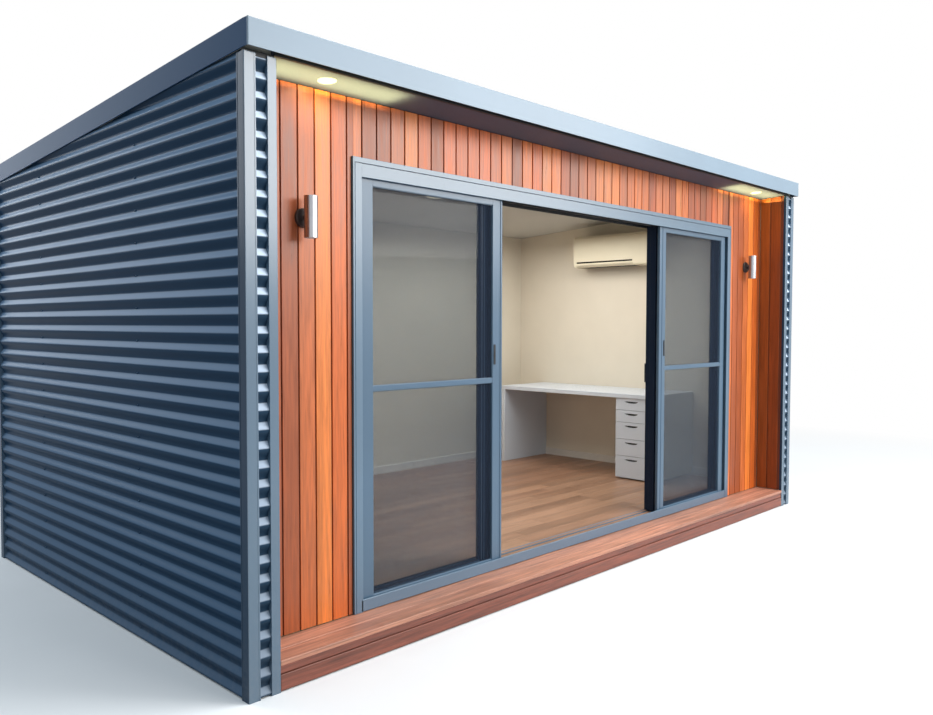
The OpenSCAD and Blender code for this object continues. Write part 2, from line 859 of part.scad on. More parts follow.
side_rails();
floor_joists();
threshold_beam();
floor_deck();
floor_boards();
left_wall();
right_wall();
back_wall();
front_wall_left();
front_wall_right();
front_wall_header();
left_cladding();
right_cladding();
back_cladding();
wall_end_strips();
front_corner_trims();
back_corner_trims();
reveal_trims();
timber_left();
timber_right();
timber_header();
reveal_boards();
soffit();
soffit_downlights();
roof_panel();
front_fascia();
barges();
rear_gutter();
downpipe();
step_tread();
step_riser();
step_blocks_row();
door_sill();
sill_tracks();
door_head();
head_guides();
door_jambs();
fixed_frames();
fixed_glass();
left_leaf_frame();
left_leaf_glass();
right_leaf_frame();
right_leaf_glass();
left_screen_frame();
left_screen_mesh();
right_screen_frame();
right_screen_mesh();
inner_linings();
ceiling_lining();
skirting();
wall_lights();
ceiling_light();
air_conditioner();
desk_top();
desk_end_panel();
drawer_unit();
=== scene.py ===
"""Visible pieces and finishes of the garden office pod, built round its fixed frame.

All lengths are in metres. The front faces -Y, the right side is +X and the ground is at zero.
"""

import functools
import math
import random

import bmesh
import bpy
from bpy.props import FloatProperty, FloatVectorProperty, IntProperty, PointerProperty
from mathutils import Matrix, Vector


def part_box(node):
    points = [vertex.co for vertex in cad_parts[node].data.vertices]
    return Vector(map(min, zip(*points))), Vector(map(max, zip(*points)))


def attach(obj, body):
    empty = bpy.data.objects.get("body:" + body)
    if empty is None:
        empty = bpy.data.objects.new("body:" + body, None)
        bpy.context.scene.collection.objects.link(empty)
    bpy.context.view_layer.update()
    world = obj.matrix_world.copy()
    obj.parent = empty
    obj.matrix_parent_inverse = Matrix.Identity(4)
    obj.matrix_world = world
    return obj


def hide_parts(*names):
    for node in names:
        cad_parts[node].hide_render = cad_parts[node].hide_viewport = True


bl_info = {
    "name": "Garden Office Pod",
    "version": (1, 0, 0),
    "blender": (4, 5, 0),
    "location": "View3D > Sidebar > Pod",
    "description": "Builds the visible pieces and finishes of a garden office pod",
    "category": "Object",
}

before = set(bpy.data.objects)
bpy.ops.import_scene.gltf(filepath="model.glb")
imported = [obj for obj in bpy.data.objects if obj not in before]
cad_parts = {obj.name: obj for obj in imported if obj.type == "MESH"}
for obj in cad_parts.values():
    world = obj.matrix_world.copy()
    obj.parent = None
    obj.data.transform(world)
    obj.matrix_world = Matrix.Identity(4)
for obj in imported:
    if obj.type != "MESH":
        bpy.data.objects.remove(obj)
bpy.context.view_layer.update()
SIDES = {"left": -1, "right": 1}
MM = 0.001
SMOOTH_ANGLE = math.radians(38)


def levels(node, axis):
    """Places along one axis where a node of the frame has corners, from low to high."""
    return sorted({round(vertex.co[axis], 4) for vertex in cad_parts[node].data.vertices})


def inner_x(node):
    """Distance from the middle of the pod to the nearest corner of a node."""
    return min(abs(x) for x in levels(node, 0))


def sided(side, a, b):
    """Two distances from the middle of the pod as widths on one side, from low to high."""
    return sorted((side * a, side * b))


def middles(low, high, parts):
    """Middles of the equal parts of a stretch."""
    return [low + (high - low) * (i + 0.5) / parts for i in range(parts)]


# Places read from the frame
HALF_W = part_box("front_corner_trims")[1].x
FRONT_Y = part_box("front_corner_trims")[0].y
BACK_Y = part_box("back_corner_trims")[1].y
TRIM_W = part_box("left_cladding")[0].y - FRONT_Y
TRIM_T = HALF_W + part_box("left_wall")[0].x
LINING_X = -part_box("left_wall")[1].x
ROOM_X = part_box("skirting")[1].x
TIMBER_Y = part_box("timber_left")[0].y
TIMBER_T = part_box("timber_left")[1].y - TIMBER_Y
STEP_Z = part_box("step_tread")[1].z
FLOOR_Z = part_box("floor_boards")[1].z
EAVE_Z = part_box("front_fascia")[0].z
DOOR_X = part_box("timber_header")[1].x
HEAD_TOP_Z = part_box("door_head")[1].z
CLAD_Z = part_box("left_cladding")[0].z
WALL_FRONT, WALL_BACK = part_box("left_wall")[0].y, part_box("back_wall")[0].y
FALL = (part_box("left_wall")[1].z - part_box("back_wall")[1].z) / (WALL_BACK - WALL_FRONT)
ROOF_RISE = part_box("left_wall")[1].z - EAVE_Z + FALL * (WALL_FRONT - FRONT_Y)
ROOF_SEAT = ROOF_RISE + 0.3 * MM


def eave(y):
    """Height of the underside of the fascia, barges and soffit at a depth."""
    return EAVE_Z - FALL * max(0.0, y - FRONT_Y)


def colour(name, about, value):
    """Colour setting."""
    return FloatVectorProperty(
        name=name, description=about, subtype="COLOR", size=3, min=0.0, max=1.0, default=value
    )


def length(name, about, value, high):
    """Length setting."""
    return FloatProperty(
        name=name, description=about, default=value, min=0.0, max=high, unit="LENGTH", precision=4
    )


def portion(name, about, value):
    """Setting from 0 to 1."""
    return FloatProperty(
        name=name, description=about, default=value, min=0.0, max=1.0, subtype="FACTOR"
    )


def count(name, about, value):
    """Setting that is a whole number."""
    return IntProperty(name=name, description=about, default=value, min=1)


def angle(name, about, value):
    """Angle setting."""
    return FloatProperty(name=name, description=about, default=value, unit="ROTATION")


def power(name, about, value):
    """Power of a lamp."""
    return FloatProperty(name=name, description=about, default=value, min=0.0, unit="POWER")


class PodMetal(bpy.types.PropertyGroup):
    """Folded and corrugated steel."""

    wave_pitch: length("Wave Pitch", "Distance between two crests of the cladding", 0.076, 0.15)
    wave_depth: length("Wave Depth", "Depth of the cladding's waves", 0.016, 0.04)
    waves: count("Waves per Sheet", "Waves that one sheet covers", 10)
    sheet_t: length("Sheet Thickness", "Thickness of the steel sheets as drawn", 0.0012, 0.005)
    lap_t: length("Lap", "Step where one sheet laps over the next", 0.0011, 0.005)
    bend: length("Bend Radius", "Radius of the folded corners", 0.0035, 0.01)
    hem_w: length("Hem Width", "Width of the folded hems on the trims", 0.007, 0.02)
    hem_t: length("Hem Thickness", "Distance that a hem stands proud", 0.0012, 0.004)
    trim_drop: length("Trim Drop", "Gap between the trims' tops and the eave", 0.011, 0.03)
    screw_d: length("Screw Washer", "Diameter of the washers under the screws", 0.015, 0.03)
    ribs: count("Roof Ribs", "Number of ribs across the roof", 15)
    rib_h: length("Rib Height", "Height of the roof's ribs", 0.025, 0.05)
    rib_top: length("Rib Top", "Width of a rib at its top", 0.022, 0.06)
    rib_foot: length("Rib Foot", "Width of a rib at its foot", 0.062, 0.1)
    roof_t: length("Roof Thickness", "Thickness of the roof panel without its ribs", 0.05, 0.1)
    cladding: colour("Cladding", "Colour of the corrugated sheets", (0.021, 0.05, 0.094))
    strip: colour("Front Strips", "Colour of the strips on the wall ends", (0.02, 0.045, 0.08))
    trim: colour("Trims", "Colour of the folded trims", (0.085, 0.145, 0.21))
    # painted shade: the trims' side faces get a darker copy of the trims' paint
    trim_side: colour("Trim Sides", "Colour of the trims' side faces", (0.024, 0.052, 0.092))
    # painted sheen: the next two colours paint sky light onto the upward slopes of the waves
    pale: colour("Weathered Cladding", "Colour of the waves' upper slopes", (0.145, 0.23, 0.35))
    pale_strip: colour("Weathered Strips", "Upper slopes of the front strips", (0.56, 0.66, 0.8))
    # the barges and the fascia are one paint; these two colours are its shaded copy and its lit
    # copy, painted shade and painted light
    barge: colour("Barges", "Colour of the barges and rainwater goods", (0.038, 0.08, 0.155))
    fascia: colour("Fascia", "Colour of the front fascia", (0.2, 0.275, 0.35))
    roof: colour("Roof", "Colour of the roof sheet", (0.2, 0.26, 0.31))


class PodTimber(bpy.types.PropertyGroup):
    """Timber boards of the front and the step."""

    pitch: length("Board Pitch", "Distance between two channels of the boards", 0.0889, 0.2)
    first: length("First Channel", "First channel's distance from the left face", 0.2135, 0.4)
    recess_first: length("Recess Channel", "Depth of the recess's first channel", 0.04, 0.1)
    channel_w: length("Channel Width", "Width of the channel between two boards", 0.008, 0.03)
    channel_d: length("Channel Depth", "Depth of the channel between two boards", 0.007, 0.015)
    arris: length("Arris", "Radius of the boards' front edges", 0.0016, 0.01)
    end_gap: length("End Gap", "Gap at the ends of the boards", 0.004, 0.01)
    joint_z: length("Riser Joint", "Height of the joint between the two riser boards", 0.073, 0.12)
    board_gap: length("Board Gap", "Gap between the step boards", 0.003, 0.01)
    cedar: colour("Cedar", "Middle tone of the oiled boards", (0.58, 0.12, 0.018))
    # painted shade: the channel colour darkens the grooves as their shade
    channel: colour("Channel", "Colour in the channels", (0.16, 0.038, 0.014))
    tread: colour("Tread", "Middle tone of the step's tread", (0.5, 0.225, 0.145))
    riser: colour("Riser", "Middle tone of the riser boards", (0.2, 0.058, 0.035))
    soffit: colour("Soffit", "Colour of the soffit lining", (0.075, 0.085, 0.12))


class PodDoor(bpy.types.PropertyGroup):
    """Door frame, glass leaves and insect screens."""

    ease: length("Edge", "Size of the bevel on aluminium edges", 0.0012, 0.004)
    lap: length("Jamb Lap", "Width of the jamb's front lip over the screens", 0.008, 0.02)
    bead_w: length("Bead Width", "Width of the glazing beads", 0.004, 0.03)
    gasket: length("Gasket", "Width of the black gaskets that show", 0.002, 0.01)
    groove: length("Groove", "Width of the line between flange and frame", 0.0025, 0.01)
    face_w: length("Stile Face", "Width of the flat face of a screen's leading stile", 0.04, 0.06)
    grip_w: length("Grip", "Width of the finger groove in a leading stile", 0.024, 0.04)
    grip_d: length("Grip Depth", "Depth of the finger groove in a leading stile", 0.004, 0.008)
    interlock_w: length("Interlock", "Width of the fin on a leaf's leading stile", 0.014, 0.03)
    latch_h: length("Latch Height", "Height of a screen latch", 0.11, 0.2)
    latch_w: length("Latch Width", "Width of a screen latch", 0.016, 0.03)
    latch_z: length("Latch Level", "Height of the latches above the ground", 1.328, 2.0)
    pull_h: length("Pull Height", "Height of a pull handle", 0.135, 0.3)
    pull_t: length("Pull Thickness", "Thickness of a pull handle", 0.012, 0.02)
    pull_z: length("Pull Level", "Height of the pull handles above the ground", 1.15, 2.0)
    roller_r: length("Roller Radius", "Radius of the rollers", 0.011, 0.02)
    roller_w: length("Roller Width", "Width of the rollers", 0.008, 0.01)
    roller_inset: length("Roller Inset", "Distance from a roller to the panel's end", 0.12, 0.3)
    metal: colour("Powder Coat", "Colour of the door frame", (0.09, 0.16, 0.235))
    screen: colour("Screen Coat", "Colour of the insect screens' frames", (0.075, 0.135, 0.205))
    # painted shade: the glass panels' frames take a darker copy of the door frame's coat
    shaded: colour("Inner Coat", "Colour of the glass panels' frames", (0.012, 0.022, 0.045))
    # also the colour of the black strips of painted shade in gaps
    seal: colour("Seal", "Colour of the gaskets and latches", (0.01, 0.011, 0.013))
    glass: colour("Glass", "Tint of the glass", (0.84, 0.88, 0.9))
    mesh: colour("Mesh", "Colour of the insect mesh", (0.028, 0.038, 0.06))
    cover: portion("Mesh Cover", "Share of the view that each side of the mesh covers", 0.31)


class PodRoom(bpy.types.PropertyGroup):
    """Room, lights and fittings."""

    plank_w: length("Plank Width", "Width of a floor plank", 0.125, 0.3)
    plank_l: length("Plank Length", "Length of a floor plank", 1.28, 3.0)
    tube_d: length("Tube Diameter", "Diameter of the wall lights' tubes", 0.06, 0.1)
    plate_d: length("Plate Diameter", "Diameter of the wall lights' back plates", 0.086, 0.15)
    lens_d: length("Downlight Diameter", "Diameter of the soffit lights", 0.084, 0.15)
    skirting_t: length("Skirting Thickness", "Thickness of the skirting boards", 0.012, 0.03)
    oak: colour("Oak", "Middle tone of the floor planks", (0.31, 0.17, 0.105))
    wall: colour("Wall", "Colour of the wall lining", (0.74, 0.68, 0.57))
    ceiling: colour("Ceiling", "Colour of the ceiling lining", (0.55, 0.54, 0.5))
    skirting: colour("Skirting", "Colour of the skirting", (0.76, 0.73, 0.68))
    laminate: colour("Laminate", "Colour of the desk and drawers", (0.62, 0.68, 0.76))
    appliance: colour("Appliance", "Colour of the air conditioner", (0.76, 0.7, 0.54))
    steel: colour("Steel", "Colour of the wall lights", (0.45, 0.46, 0.49))
    warm: colour("Lit Lens", "Colour of the lit lenses", (1.0, 0.86, 0.5))


class PodStage(bpy.types.PropertyGroup):
    """Camera, lights and floor."""

    camera: FloatVectorProperty(
        name="Camera", description="Place of the camera", subtype="TRANSLATION", unit="LENGTH",
        default=(-4.2573, -4.3427, 1.4946),
    )
    heading: angle("Heading", "Direction of the view, clockwise from +Y", math.radians(46.01))
    pitch: angle("Pitch", "Tilt of the view", math.radians(-2.31))
    roll: angle("Roll", "Turn of the view", 0.0018)
    lens: FloatProperty(
        name="Lens", description="Focal length on a 36 mm sensor", default=31.89, min=1.0,
        unit="CAMERA",
    )
    sky: portion("Sky", "Strength of the soft light from all round", 0.65)
    sky_tint: colour("Sky Tint", "Colour of the soft light from all round", (0.8, 0.92, 1.0))
    key: power("Key", "Power of the wide lamp in front", 700.0)
    high: power("High", "Power of the lamp high in front", 450.0)
    edge: power("Edge", "Power of the wide lamp behind on the left", 500.0)
    room: power("Room", "Power of the lamp in the room", 42.0)
    glow: power("Soffit Glow", "Power of each lamp that lights the soffit", 4.2)
    spill: power("Downlight", "Power of each downlight in the soffit", 0.5)
    floor: colour("Floor", "Colour of the floor", (0.8, 0.81, 0.82))
    bounce: colour("Bounce", "Colour of the light that the floor throws back", (0.3, 0.31, 0.32))
    fade_start: length("Fade Start", "Distance at which the floor's fade starts", 3.4, 30.0)
    fade_end: length("Fade End", "Distance at which the floor is white", 8.0, 40.0)


# Mesh tools


def along_x(a, b, t):
    """Outline in depth and height, swept along the width."""
    return (t, a, b)


def along_z(a, b, t):
    """Outline in plan, swept upwards."""
    return (a, b, t)


def mirrored(side):
    """Outline in plan with its widths counted from the middle, swept upwards."""
    return lambda a, b, t: (side * a, b, t)


def rounded(points, radius, steps=3):
    """Outline with its corners rounded. A point's third number is a radius of its own."""
    outline = []
    for i, point in enumerate(points):
        corner = Vector(point[:2])
        size = point[2] if len(point) > 2 else radius
        if size == 0:
            outline.append(tuple(corner))
            continue
        before = (Vector(points[i - 1][:2]) - corner).normalized() * size
        after = (Vector(points[(i + 1) % len(points)][:2]) - corner).normalized() * size
        for k in range(steps + 1):
            t = k / steps
            outline.append(tuple(corner + before * (1 - t) ** 2 + after * t**2))
    return outline


def reach(stop, a, b):
    """Where a sweep stops at one point of its outline."""
    return stop(a, b) if callable(stop) else stop


def band(low, high, closed=True):
    """Corners of the faces between two rows of matching points."""
    first = 0 if closed else 1
    return [(low[i - 1], low[i], high[i], high[i - 1]) for i in range(first, len(low))]


def add_prism(bm, outline, place, stations, material=0):
    """Closed solid swept along stations, which are numbers or functions of the outline's point."""
    rings = [[bm.verts.new(place(a, b, reach(s, a, b))) for a, b in outline] for s in stations]
    faces = [bm.faces.new(rings[0]), bm.faces.new(rings[-1])]
    for low, high in zip(rings, rings[1:]):
        faces += [bm.faces.new(corners) for corners in band(low, high)]
    for face in faces:
        face.material_index = material
    return faces


def add_sheet(bm, outer, inner, place, stations, closed=False):
    """Sheet between two lines with matching points, swept along stations."""
    grid = [
        [[bm.verts.new(place(a, b, reach(s, a, b))) for a, b in line] for s in stations]
        for line in (outer, inner)
    ]
    quads = []
    for line in grid:
        for low, high in zip(line, line[1:]):
            quads += band(low, high, closed)
    for end in (0, -1):
        quads += band(grid[0][end], grid[1][end], closed)
    if not closed:
        for end in (0, -1):
            quads += band(*[[row[end] for row in line] for line in grid], False)
    for quad in quads:
        bm.faces.new(quad)


def add_bar(bm, low, high, ease, material=0):
    """Box with bevelled edges."""
    size = [(b - a) / 2 for a, b in zip(low, high)]
    centre = Vector([(a + b) / 2 for a, b in zip(low, high)])
    cut = min(ease, *[half * 0.9 for half in size])
    turns = ((-1, -1), (1, -1), (1, 1), (-1, 1))
    verts = {}
    for corner in ((x, y, z) for x in (-1, 1) for y in (-1, 1) for z in (-1, 1)):
        for axis in range(3):
            place = [corner[i] * (size[i] - (0 if i == axis else cut)) for i in range(3)]
            verts[corner, axis] = bm.verts.new(centre + Vector(place))

    def corner_of(axis, side, a, b):
        corner = [a, b]
        corner.insert(axis, side)
        return tuple(corner)

    faces = []
    for axis in range(3):
        u, v = [i for i in range(3) if i != axis]
        for side in (-1, 1):
            faces.append([verts[corner_of(axis, side, a, b), axis] for a, b in turns])
        for a, b in turns:
            near, far = corner_of(axis, -1, a, b), corner_of(axis, 1, a, b)
            faces.append([verts[near, u], verts[far, u], verts[far, v], verts[near, v]])
    for corner in {key[0] for key in verts}:
        faces.append([verts[corner, axis] for axis in range(3)])
    for face in faces:
        bm.faces.new(face).material_index = material


def add_ring(bm, opening, profile, material=0):
    """Mitred ring in an opening x0, x1, z0, z1. The profile gives distance inwards and depth."""
    x0, x1, z0, z1 = opening
    rings = []
    for a, y in profile:
        corners = ((x0 + a, z0 + a), (x1 - a, z0 + a), (x1 - a, z1 - a), (x0 + a, z1 - a))
        rings.append([bm.verts.new((x, y, z)) for x, z in corners])
    for i, ring in enumerate(rings):
        for corners in band(rings[i - 1], ring):
            bm.faces.new(corners).material_index = material


def add_turned(bm, profile, matrix, steps=32, material=0):
    """Turned solid. The profile runs from axis to axis, as radius and height."""
    rings = []
    for radius, height in profile:
        turns = [0] if radius == 0 else [2 * math.pi * i / steps for i in range(steps)]
        spots = [Vector((radius * math.cos(t), radius * math.sin(t), height)) for t in turns]
        rings.append([bm.verts.new(matrix @ spot) for spot in spots])
    for low, high in zip(rings, rings[1:]):
        for i in range(steps):
            near, far = (i - 1) % len(low), i % len(low)
            corners = [low[near], low[far], high[i % len(high)], high[(i - 1) % len(high)]]
            corners = list(dict.fromkeys(corners))
            if len(corners) > 2:
                bm.faces.new(corners).material_index = material


def facing(place, direction):
    """Matrix that puts an object at a place with its own Z towards a direction."""
    turn = Vector(direction).to_track_quat("Z", "Y").to_matrix().to_4x4()
    return Matrix.Translation(place) @ turn


def add_screw(bm, place, direction, washer_d):
    """Hexagon head screw with its washer."""
    matrix = facing(place, direction)
    r = washer_d / 2
    under, rim = -2 * MM, 0.6 * MM
    crown, head, head_top = 1.6 * MM, r * 0.56, 5.8 * MM
    add_turned(bm, [(0, under), (r, under), (r, rim), (r * 0.8, crown), (0, crown)], matrix, 16)
    add_turned(bm, [
        (0, rim), (head, rim), (head, head_top - MM), (head * 0.8, head_top), (0, head_top),
    ], matrix, 6)


def piece(name, bm, finishes, replaces=(), body="pod"):
    """Piece of the pod made from a bmesh, on its body and in place of its nodes."""
    bmesh.ops.recalc_face_normals(bm, faces=bm.faces)
    mesh = bpy.data.meshes.new(name)
    bm.to_mesh(mesh)
    bm.free()
    for finish in finishes:
        mesh.materials.append(finish)
    mesh.shade_smooth()
    mesh.set_sharp_from_angle(angle=SMOOTH_ANGLE)
    obj = bpy.data.objects.new(name, mesh)
    bpy.context.scene.collection.objects.link(obj)
    weights = obj.modifiers.new("Flat faces", "WEIGHTED_NORMAL")
    weights.keep_sharp = True
    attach(obj, body)
    if replaces:
        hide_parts(*replaces)


def dress(node, finish):
    """Gives a node of the frame that stays its finish."""
    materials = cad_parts[node].data.materials
    materials.clear()
    materials.append(finish)


# Finishes


class Finish:
    """Material whose nodes are added one by one."""

    def __init__(self, name, base, roughness, **sockets):
        self.material = bpy.data.materials.new(name)
        self.material.use_nodes = True
        self.tree = self.material.node_tree
        self.shader = self.tree.nodes["Principled BSDF"]
        self.base(base)
        self.gloss(roughness)
        for key, value in sockets.items():
            self.put(self.shader.inputs[key.replace("_", " ")], value)
        self.normal = None

    def put(self, socket, value):
        """Links a socket to another one, or sets its value."""
        if isinstance(value, bpy.types.NodeSocket):
            self.tree.links.new(value, socket)
        elif hasattr(value, "__len__") and len(value) == 3 and socket.type == "RGBA":
            socket.default_value = (*value, 1.0)
        else:
            socket.default_value = value

    def add(self, kind, inputs=None, **settings):
        """New node with its settings and inputs."""
        node = self.tree.nodes.new("ShaderNode" + kind)
        for key, value in settings.items():
            setattr(node, key, value)
        for key, value in (inputs or {}).items():
            self.put(node.inputs[key], value)
        return node

    def times(self, tone, factor):
        """Colour made darker or lighter by a factor."""
        return self.add("VectorMath", {0: tone, "Scale": factor}, operation="SCALE").outputs[0]

    def math(self, operation, a, b):
        """Sum, product or other result of two values."""
        return self.add("Math", {0: a, 1: b}, operation=operation).outputs[0]

    def part(self):
        """A number for each loose part."""
        return self.add("NewGeometry").outputs["Random Per Island"]

    def place(self, scale=(1.0, 1.0, 1.0), shuffle=0.0):
        """Place on the object, stretched, and shifted for each loose part."""
        spot = self.add("TexCoord").outputs["Object"]
        if shuffle:
            shift = self.math("MULTIPLY", self.part(), shuffle)
            spot = self.add("VectorMath", {0: spot, 1: shift}, operation="ADD").outputs[0]
        return self.add("Mapping", {"Vector": spot, "Scale": scale}).outputs["Vector"]

    def axis(self, index):
        """Place along one axis."""
        spot = self.add("TexCoord").outputs["Object"]
        return self.add("SeparateXYZ", {0: spot}).outputs[index]

    def noise(self, spot, scale, detail=3.0, roughness=0.5, distortion=0.0):
        """Soft random pattern. A larger scale is finer."""
        values = {"Vector": spot, "Scale": scale, "Detail": detail, "Roughness": roughness}
        return self.add("TexNoise", {**values, "Distortion": distortion}).outputs[0]

    def span(self, value, low, high, to_low, to_high):
        """A value mapped from one range to another."""
        return self.add("MapRange", {0: value, 1: low, 2: high, 3: to_low, 4: to_high}).outputs[0]

    def ramp(self, value, stops, interpolation="LINEAR"):
        """Colour that a value picks from a row of colours."""
        ramp = self.add("ValToRGB", {0: value})
        ramp.color_ramp.interpolation = interpolation
        elements = ramp.color_ramp.elements
        while len(elements) < len(stops):
            elements.new(1.0)
        for element, (position, tone) in zip(elements, stops):
            element.position = position
            element.color = (*tone, 1.0)
        return ramp.outputs[0]

    def tones(self, value, base, spread):
        """Tones a little darker and lighter than the base."""
        return self.ramp(value, [(0.3, shade(base, 1 - spread)), (0.7, shade(base, 1 + spread))])

    def mix(self, factor, a, b):
        """Colour between two colours."""
        return self.add("Mix", {0: factor, 6: a, 7: b}, data_type="RGBA").outputs[2]

    def bump(self, height, distance, strength=1.0):
        """Relief on top of what the surface has already."""
        values = {"Height": height, "Distance": distance, "Strength": strength}
        if self.normal:
            values["Normal"] = self.normal
        self.normal = self.add("Bump", values).outputs[0]
        self.put(self.shader.inputs["Normal"], self.normal)

    def base(self, value):
        """Sets the colour of the surface."""
        self.put(self.shader.inputs["Base Color"], value)

    def gloss(self, value):
        """Sets the roughness of the surface."""
        self.put(self.shader.inputs["Roughness"], value)

    def instead(self, factor, other):
        """Puts another shader in place of the main one by a factor."""
        mixed = self.add("MixShader", {0: factor, 1: self.shader.outputs[0], 2: other})
        self.put(self.tree.nodes["Material Output"].inputs["Surface"], mixed.outputs[0])


def shade(base, factor):
    """Colour made darker or lighter."""
    return tuple(min(1.0, channel * factor) for channel in base)


def tint(base, factors):
    """Colour with each channel scaled."""
    return tuple(min(1.0, channel * factor) for channel, factor in zip(base, factors))


def once(make):
    """Lets a function that makes a finish give the material that already has its name."""

    @functools.wraps(make)
    def find(name, *values, **settings):
        return bpy.data.materials.get(name) or make(name, *values, **settings).material

    return find


DUST = (0.3, 0.28, 0.25)


@once
def painted_steel(name, base, roughness=0.24, specular=0.5, weathered=None):
    """Satin paint on sheet steel with dust near the ground. Slopes that face up get a painted sheen
    of sky light, stronger higher up.
    """
    finish = Finish(name, base, roughness, Specular_IOR_Level=specular)
    tone = finish.tones(finish.noise(finish.place(), 1.3, 4.0), base, 0.06)
    # painted sheen: upward slopes are painted paler, more so higher up, in place of the sky's light
    # on them
    if weathered:
        normal = finish.add("NewGeometry").outputs["Normal"]
        rise = finish.add("SeparateXYZ", {0: normal}).outputs[2]
        sheen_on_upward_slopes = finish.span(rise, 0.14, 0.36, 0.0, 1.0)
        sheen_by_height = finish.span(finish.axis(2), 0.1, 1.9, 0.35, 1.0)
        tone = finish.mix(finish.math("MULTIPLY", sheen_on_upward_slopes, sheen_by_height), tone, weathered)
    fleck = finish.noise(finish.place(), 34.0, 3.0, 0.6)
    splash = finish.span(finish.axis(2), 0.0, 0.3, 0.12, 0.0)
    dust = finish.math("MULTIPLY", splash, finish.span(fleck, 0.35, 0.7, 0.2, 1.0))
    finish.base(finish.mix(dust, tone, DUST))
    finish.gloss(finish.span(fleck, 0.3, 0.8, roughness - 0.01, roughness + 0.015))
    finish.bump(fleck, 0.00004, 0.2)
    return finish


def shaded_barge_paint(metal):
    """Paint of the barges, the fascia's ends and the rainwater goods: a darker copy of the fascia's
    paint, as painted shade.
    """
    return painted_steel("Barge paint", metal.barge, 0.3, 0.01)


@once
def grained_wood(name, base, tones, stretch, roughness, streaks=0.32):
    """Oiled wood. Each board has a tone of its own and grain that runs along it."""
    finish = Finish(name, base, roughness, Specular_IOR_Level=0.6)
    spot = finish.place(stretch, shuffle=7.3)
    stops = [(i / len(tones), tint(base, tone)) for i, tone in enumerate(tones)]
    board = finish.ramp(finish.part(), stops, "CONSTANT")
    broad = finish.noise(spot, 9.0, 4.0, 0.55, 0.6)
    fine = finish.noise(spot, 70.0, 6.0, 0.65, 0.25)
    board = finish.times(board, finish.span(broad, 0.3, 0.75, 0.8, 1.2))
    board = finish.times(board, finish.span(fine, 0.3, 0.65, 1 - streaks, 1 + streaks / 2))
    finish.base(board)
    finish.gloss(finish.span(fine, 0.3, 0.7, roughness - 0.08, roughness + 0.12))
    finish.bump(fine, 0.0006, 0.5)
    finish.bump(broad, 0.0008, 0.3)
    return finish


CEDAR_TONES = (
    (1.0, 1.0, 1.0), (1.3, 1.6, 1.4), (1.1, 1.3, 1.9), (0.8, 0.75, 0.8), (1.15, 1.05, 0.8),
    (1.35, 1.75, 2.1), (0.62, 0.66, 1.0), (1.1, 1.2, 1.1), (0.9, 1.05, 1.6), (1.2, 1.35, 1.2),
)
WOOD_TONES = ((0.88, 0.88, 0.88), (1.08, 1.1, 1.1), (0.97, 0.95, 0.95), (1.15, 1.18, 1.2))
EVEN_TONES = ((0.95, 0.95, 0.95), (1.0, 1.0, 1.0), (1.05, 1.05, 1.05))


def cedar(timber, name="Oiled cedar", depth=1.0):
    """Boards whose grain runs upright, and the darker wood in their channels, darkened as painted
    shade in the grooves.
    """
    upright = (1.0, 1.0, 0.05)
    # depth below 1 darkens the boards as painted shade, for the recess
    boards = grained_wood(name, shade(timber.cedar, depth), CEDAR_TONES, upright, 0.34)
    return [boards, grained_wood("Cedar channels", timber.channel, EVEN_TONES, upright, 0.7)]


def lengthwise(name, base, roughness, streaks=0.32):
    """Wood whose grain runs along the width of the pod."""
    return grained_wood(name, base, WOOD_TONES, (0.04, 1.0, 1.0), roughness, streaks)


def oak(room):
    """Wood of the floor planks and of the strips in the door's sill."""
    return lengthwise("Oak planks", room.oak, 0.38)


@once
def powder_coat(name, base, specular=1.0):
    """Satin coating on aluminium with a faint orange peel."""
    roughness = 0.3
    finish = Finish(name, base, roughness, Specular_IOR_Level=specular)
    spot = finish.place()
    cloud = finish.noise(spot, 2.3, 3.0)
    peel = finish.noise(spot, 45.0, 2.0)
    tone = finish.tones(cloud, base, 0.05)
    finish.base(finish.mix(finish.span(peel, 0.4, 0.8, 0.0, 0.1), tone, shade(base, 1.2)))
    finish.gloss(finish.span(peel, 0.3, 0.7, roughness - 0.01, roughness + 0.02))
    finish.bump(peel, 0.00003, 0.2)
    return finish


@once
def plain(name, base, roughness, grain=300.0, depth=0.0001, spread=0.04):
    """Plain material with a fine grain and a faint change of tone."""
    finish = Finish(name, base, roughness)
    spot = finish.place()
    fine = finish.noise(spot, grain, 3.0)
    tone = finish.tones(finish.noise(spot, 4.0, 4.0), base, spread)
    finish.base(finish.mix(finish.span(fine, 0.4, 0.8, 0.0, 0.1), tone, shade(base, 0.85)))
    finish.gloss(finish.span(fine, 0.3, 0.7, roughness - 0.04, roughness + 0.06))
    finish.bump(fine, depth, 0.4)
    return finish


def black(door):
    """Rubber, dark trim and black strips of painted shade."""
    return plain("Black seal", door.seal, 0.55, grain=500.0)


@once
def brushed_steel(name, base):
    """Stainless steel with brushing along its height."""
    finish = Finish(name, base, 0.3, Metallic=1.0)
    lines = finish.noise(finish.place((420.0, 420.0, 6.0)), 1.0, 3.0)
    finish.base(finish.tones(lines, base, 0.13))
    finish.gloss(finish.span(lines, 0.3, 0.7, 0.2, 0.4))
    finish.bump(lines, 0.0001, 0.3)
    return finish


@once
def glazing(name, base):
    """Clear glass that lets lamps through."""
    finish = Finish(name, base, 0.02, IOR=1.45, Transmission_Weight=1.0)
    smear = finish.noise(finish.place(), 3.0, 4.0)
    finish.gloss(finish.span(smear, 0.45, 0.8, 0.01, 0.04))
    shadow = finish.add("LightPath").outputs["Is Shadow Ray"]
    finish.instead(shadow, finish.add("BsdfTransparent", {0: (0.9, 0.93, 0.93)}).outputs[0])
    return finish


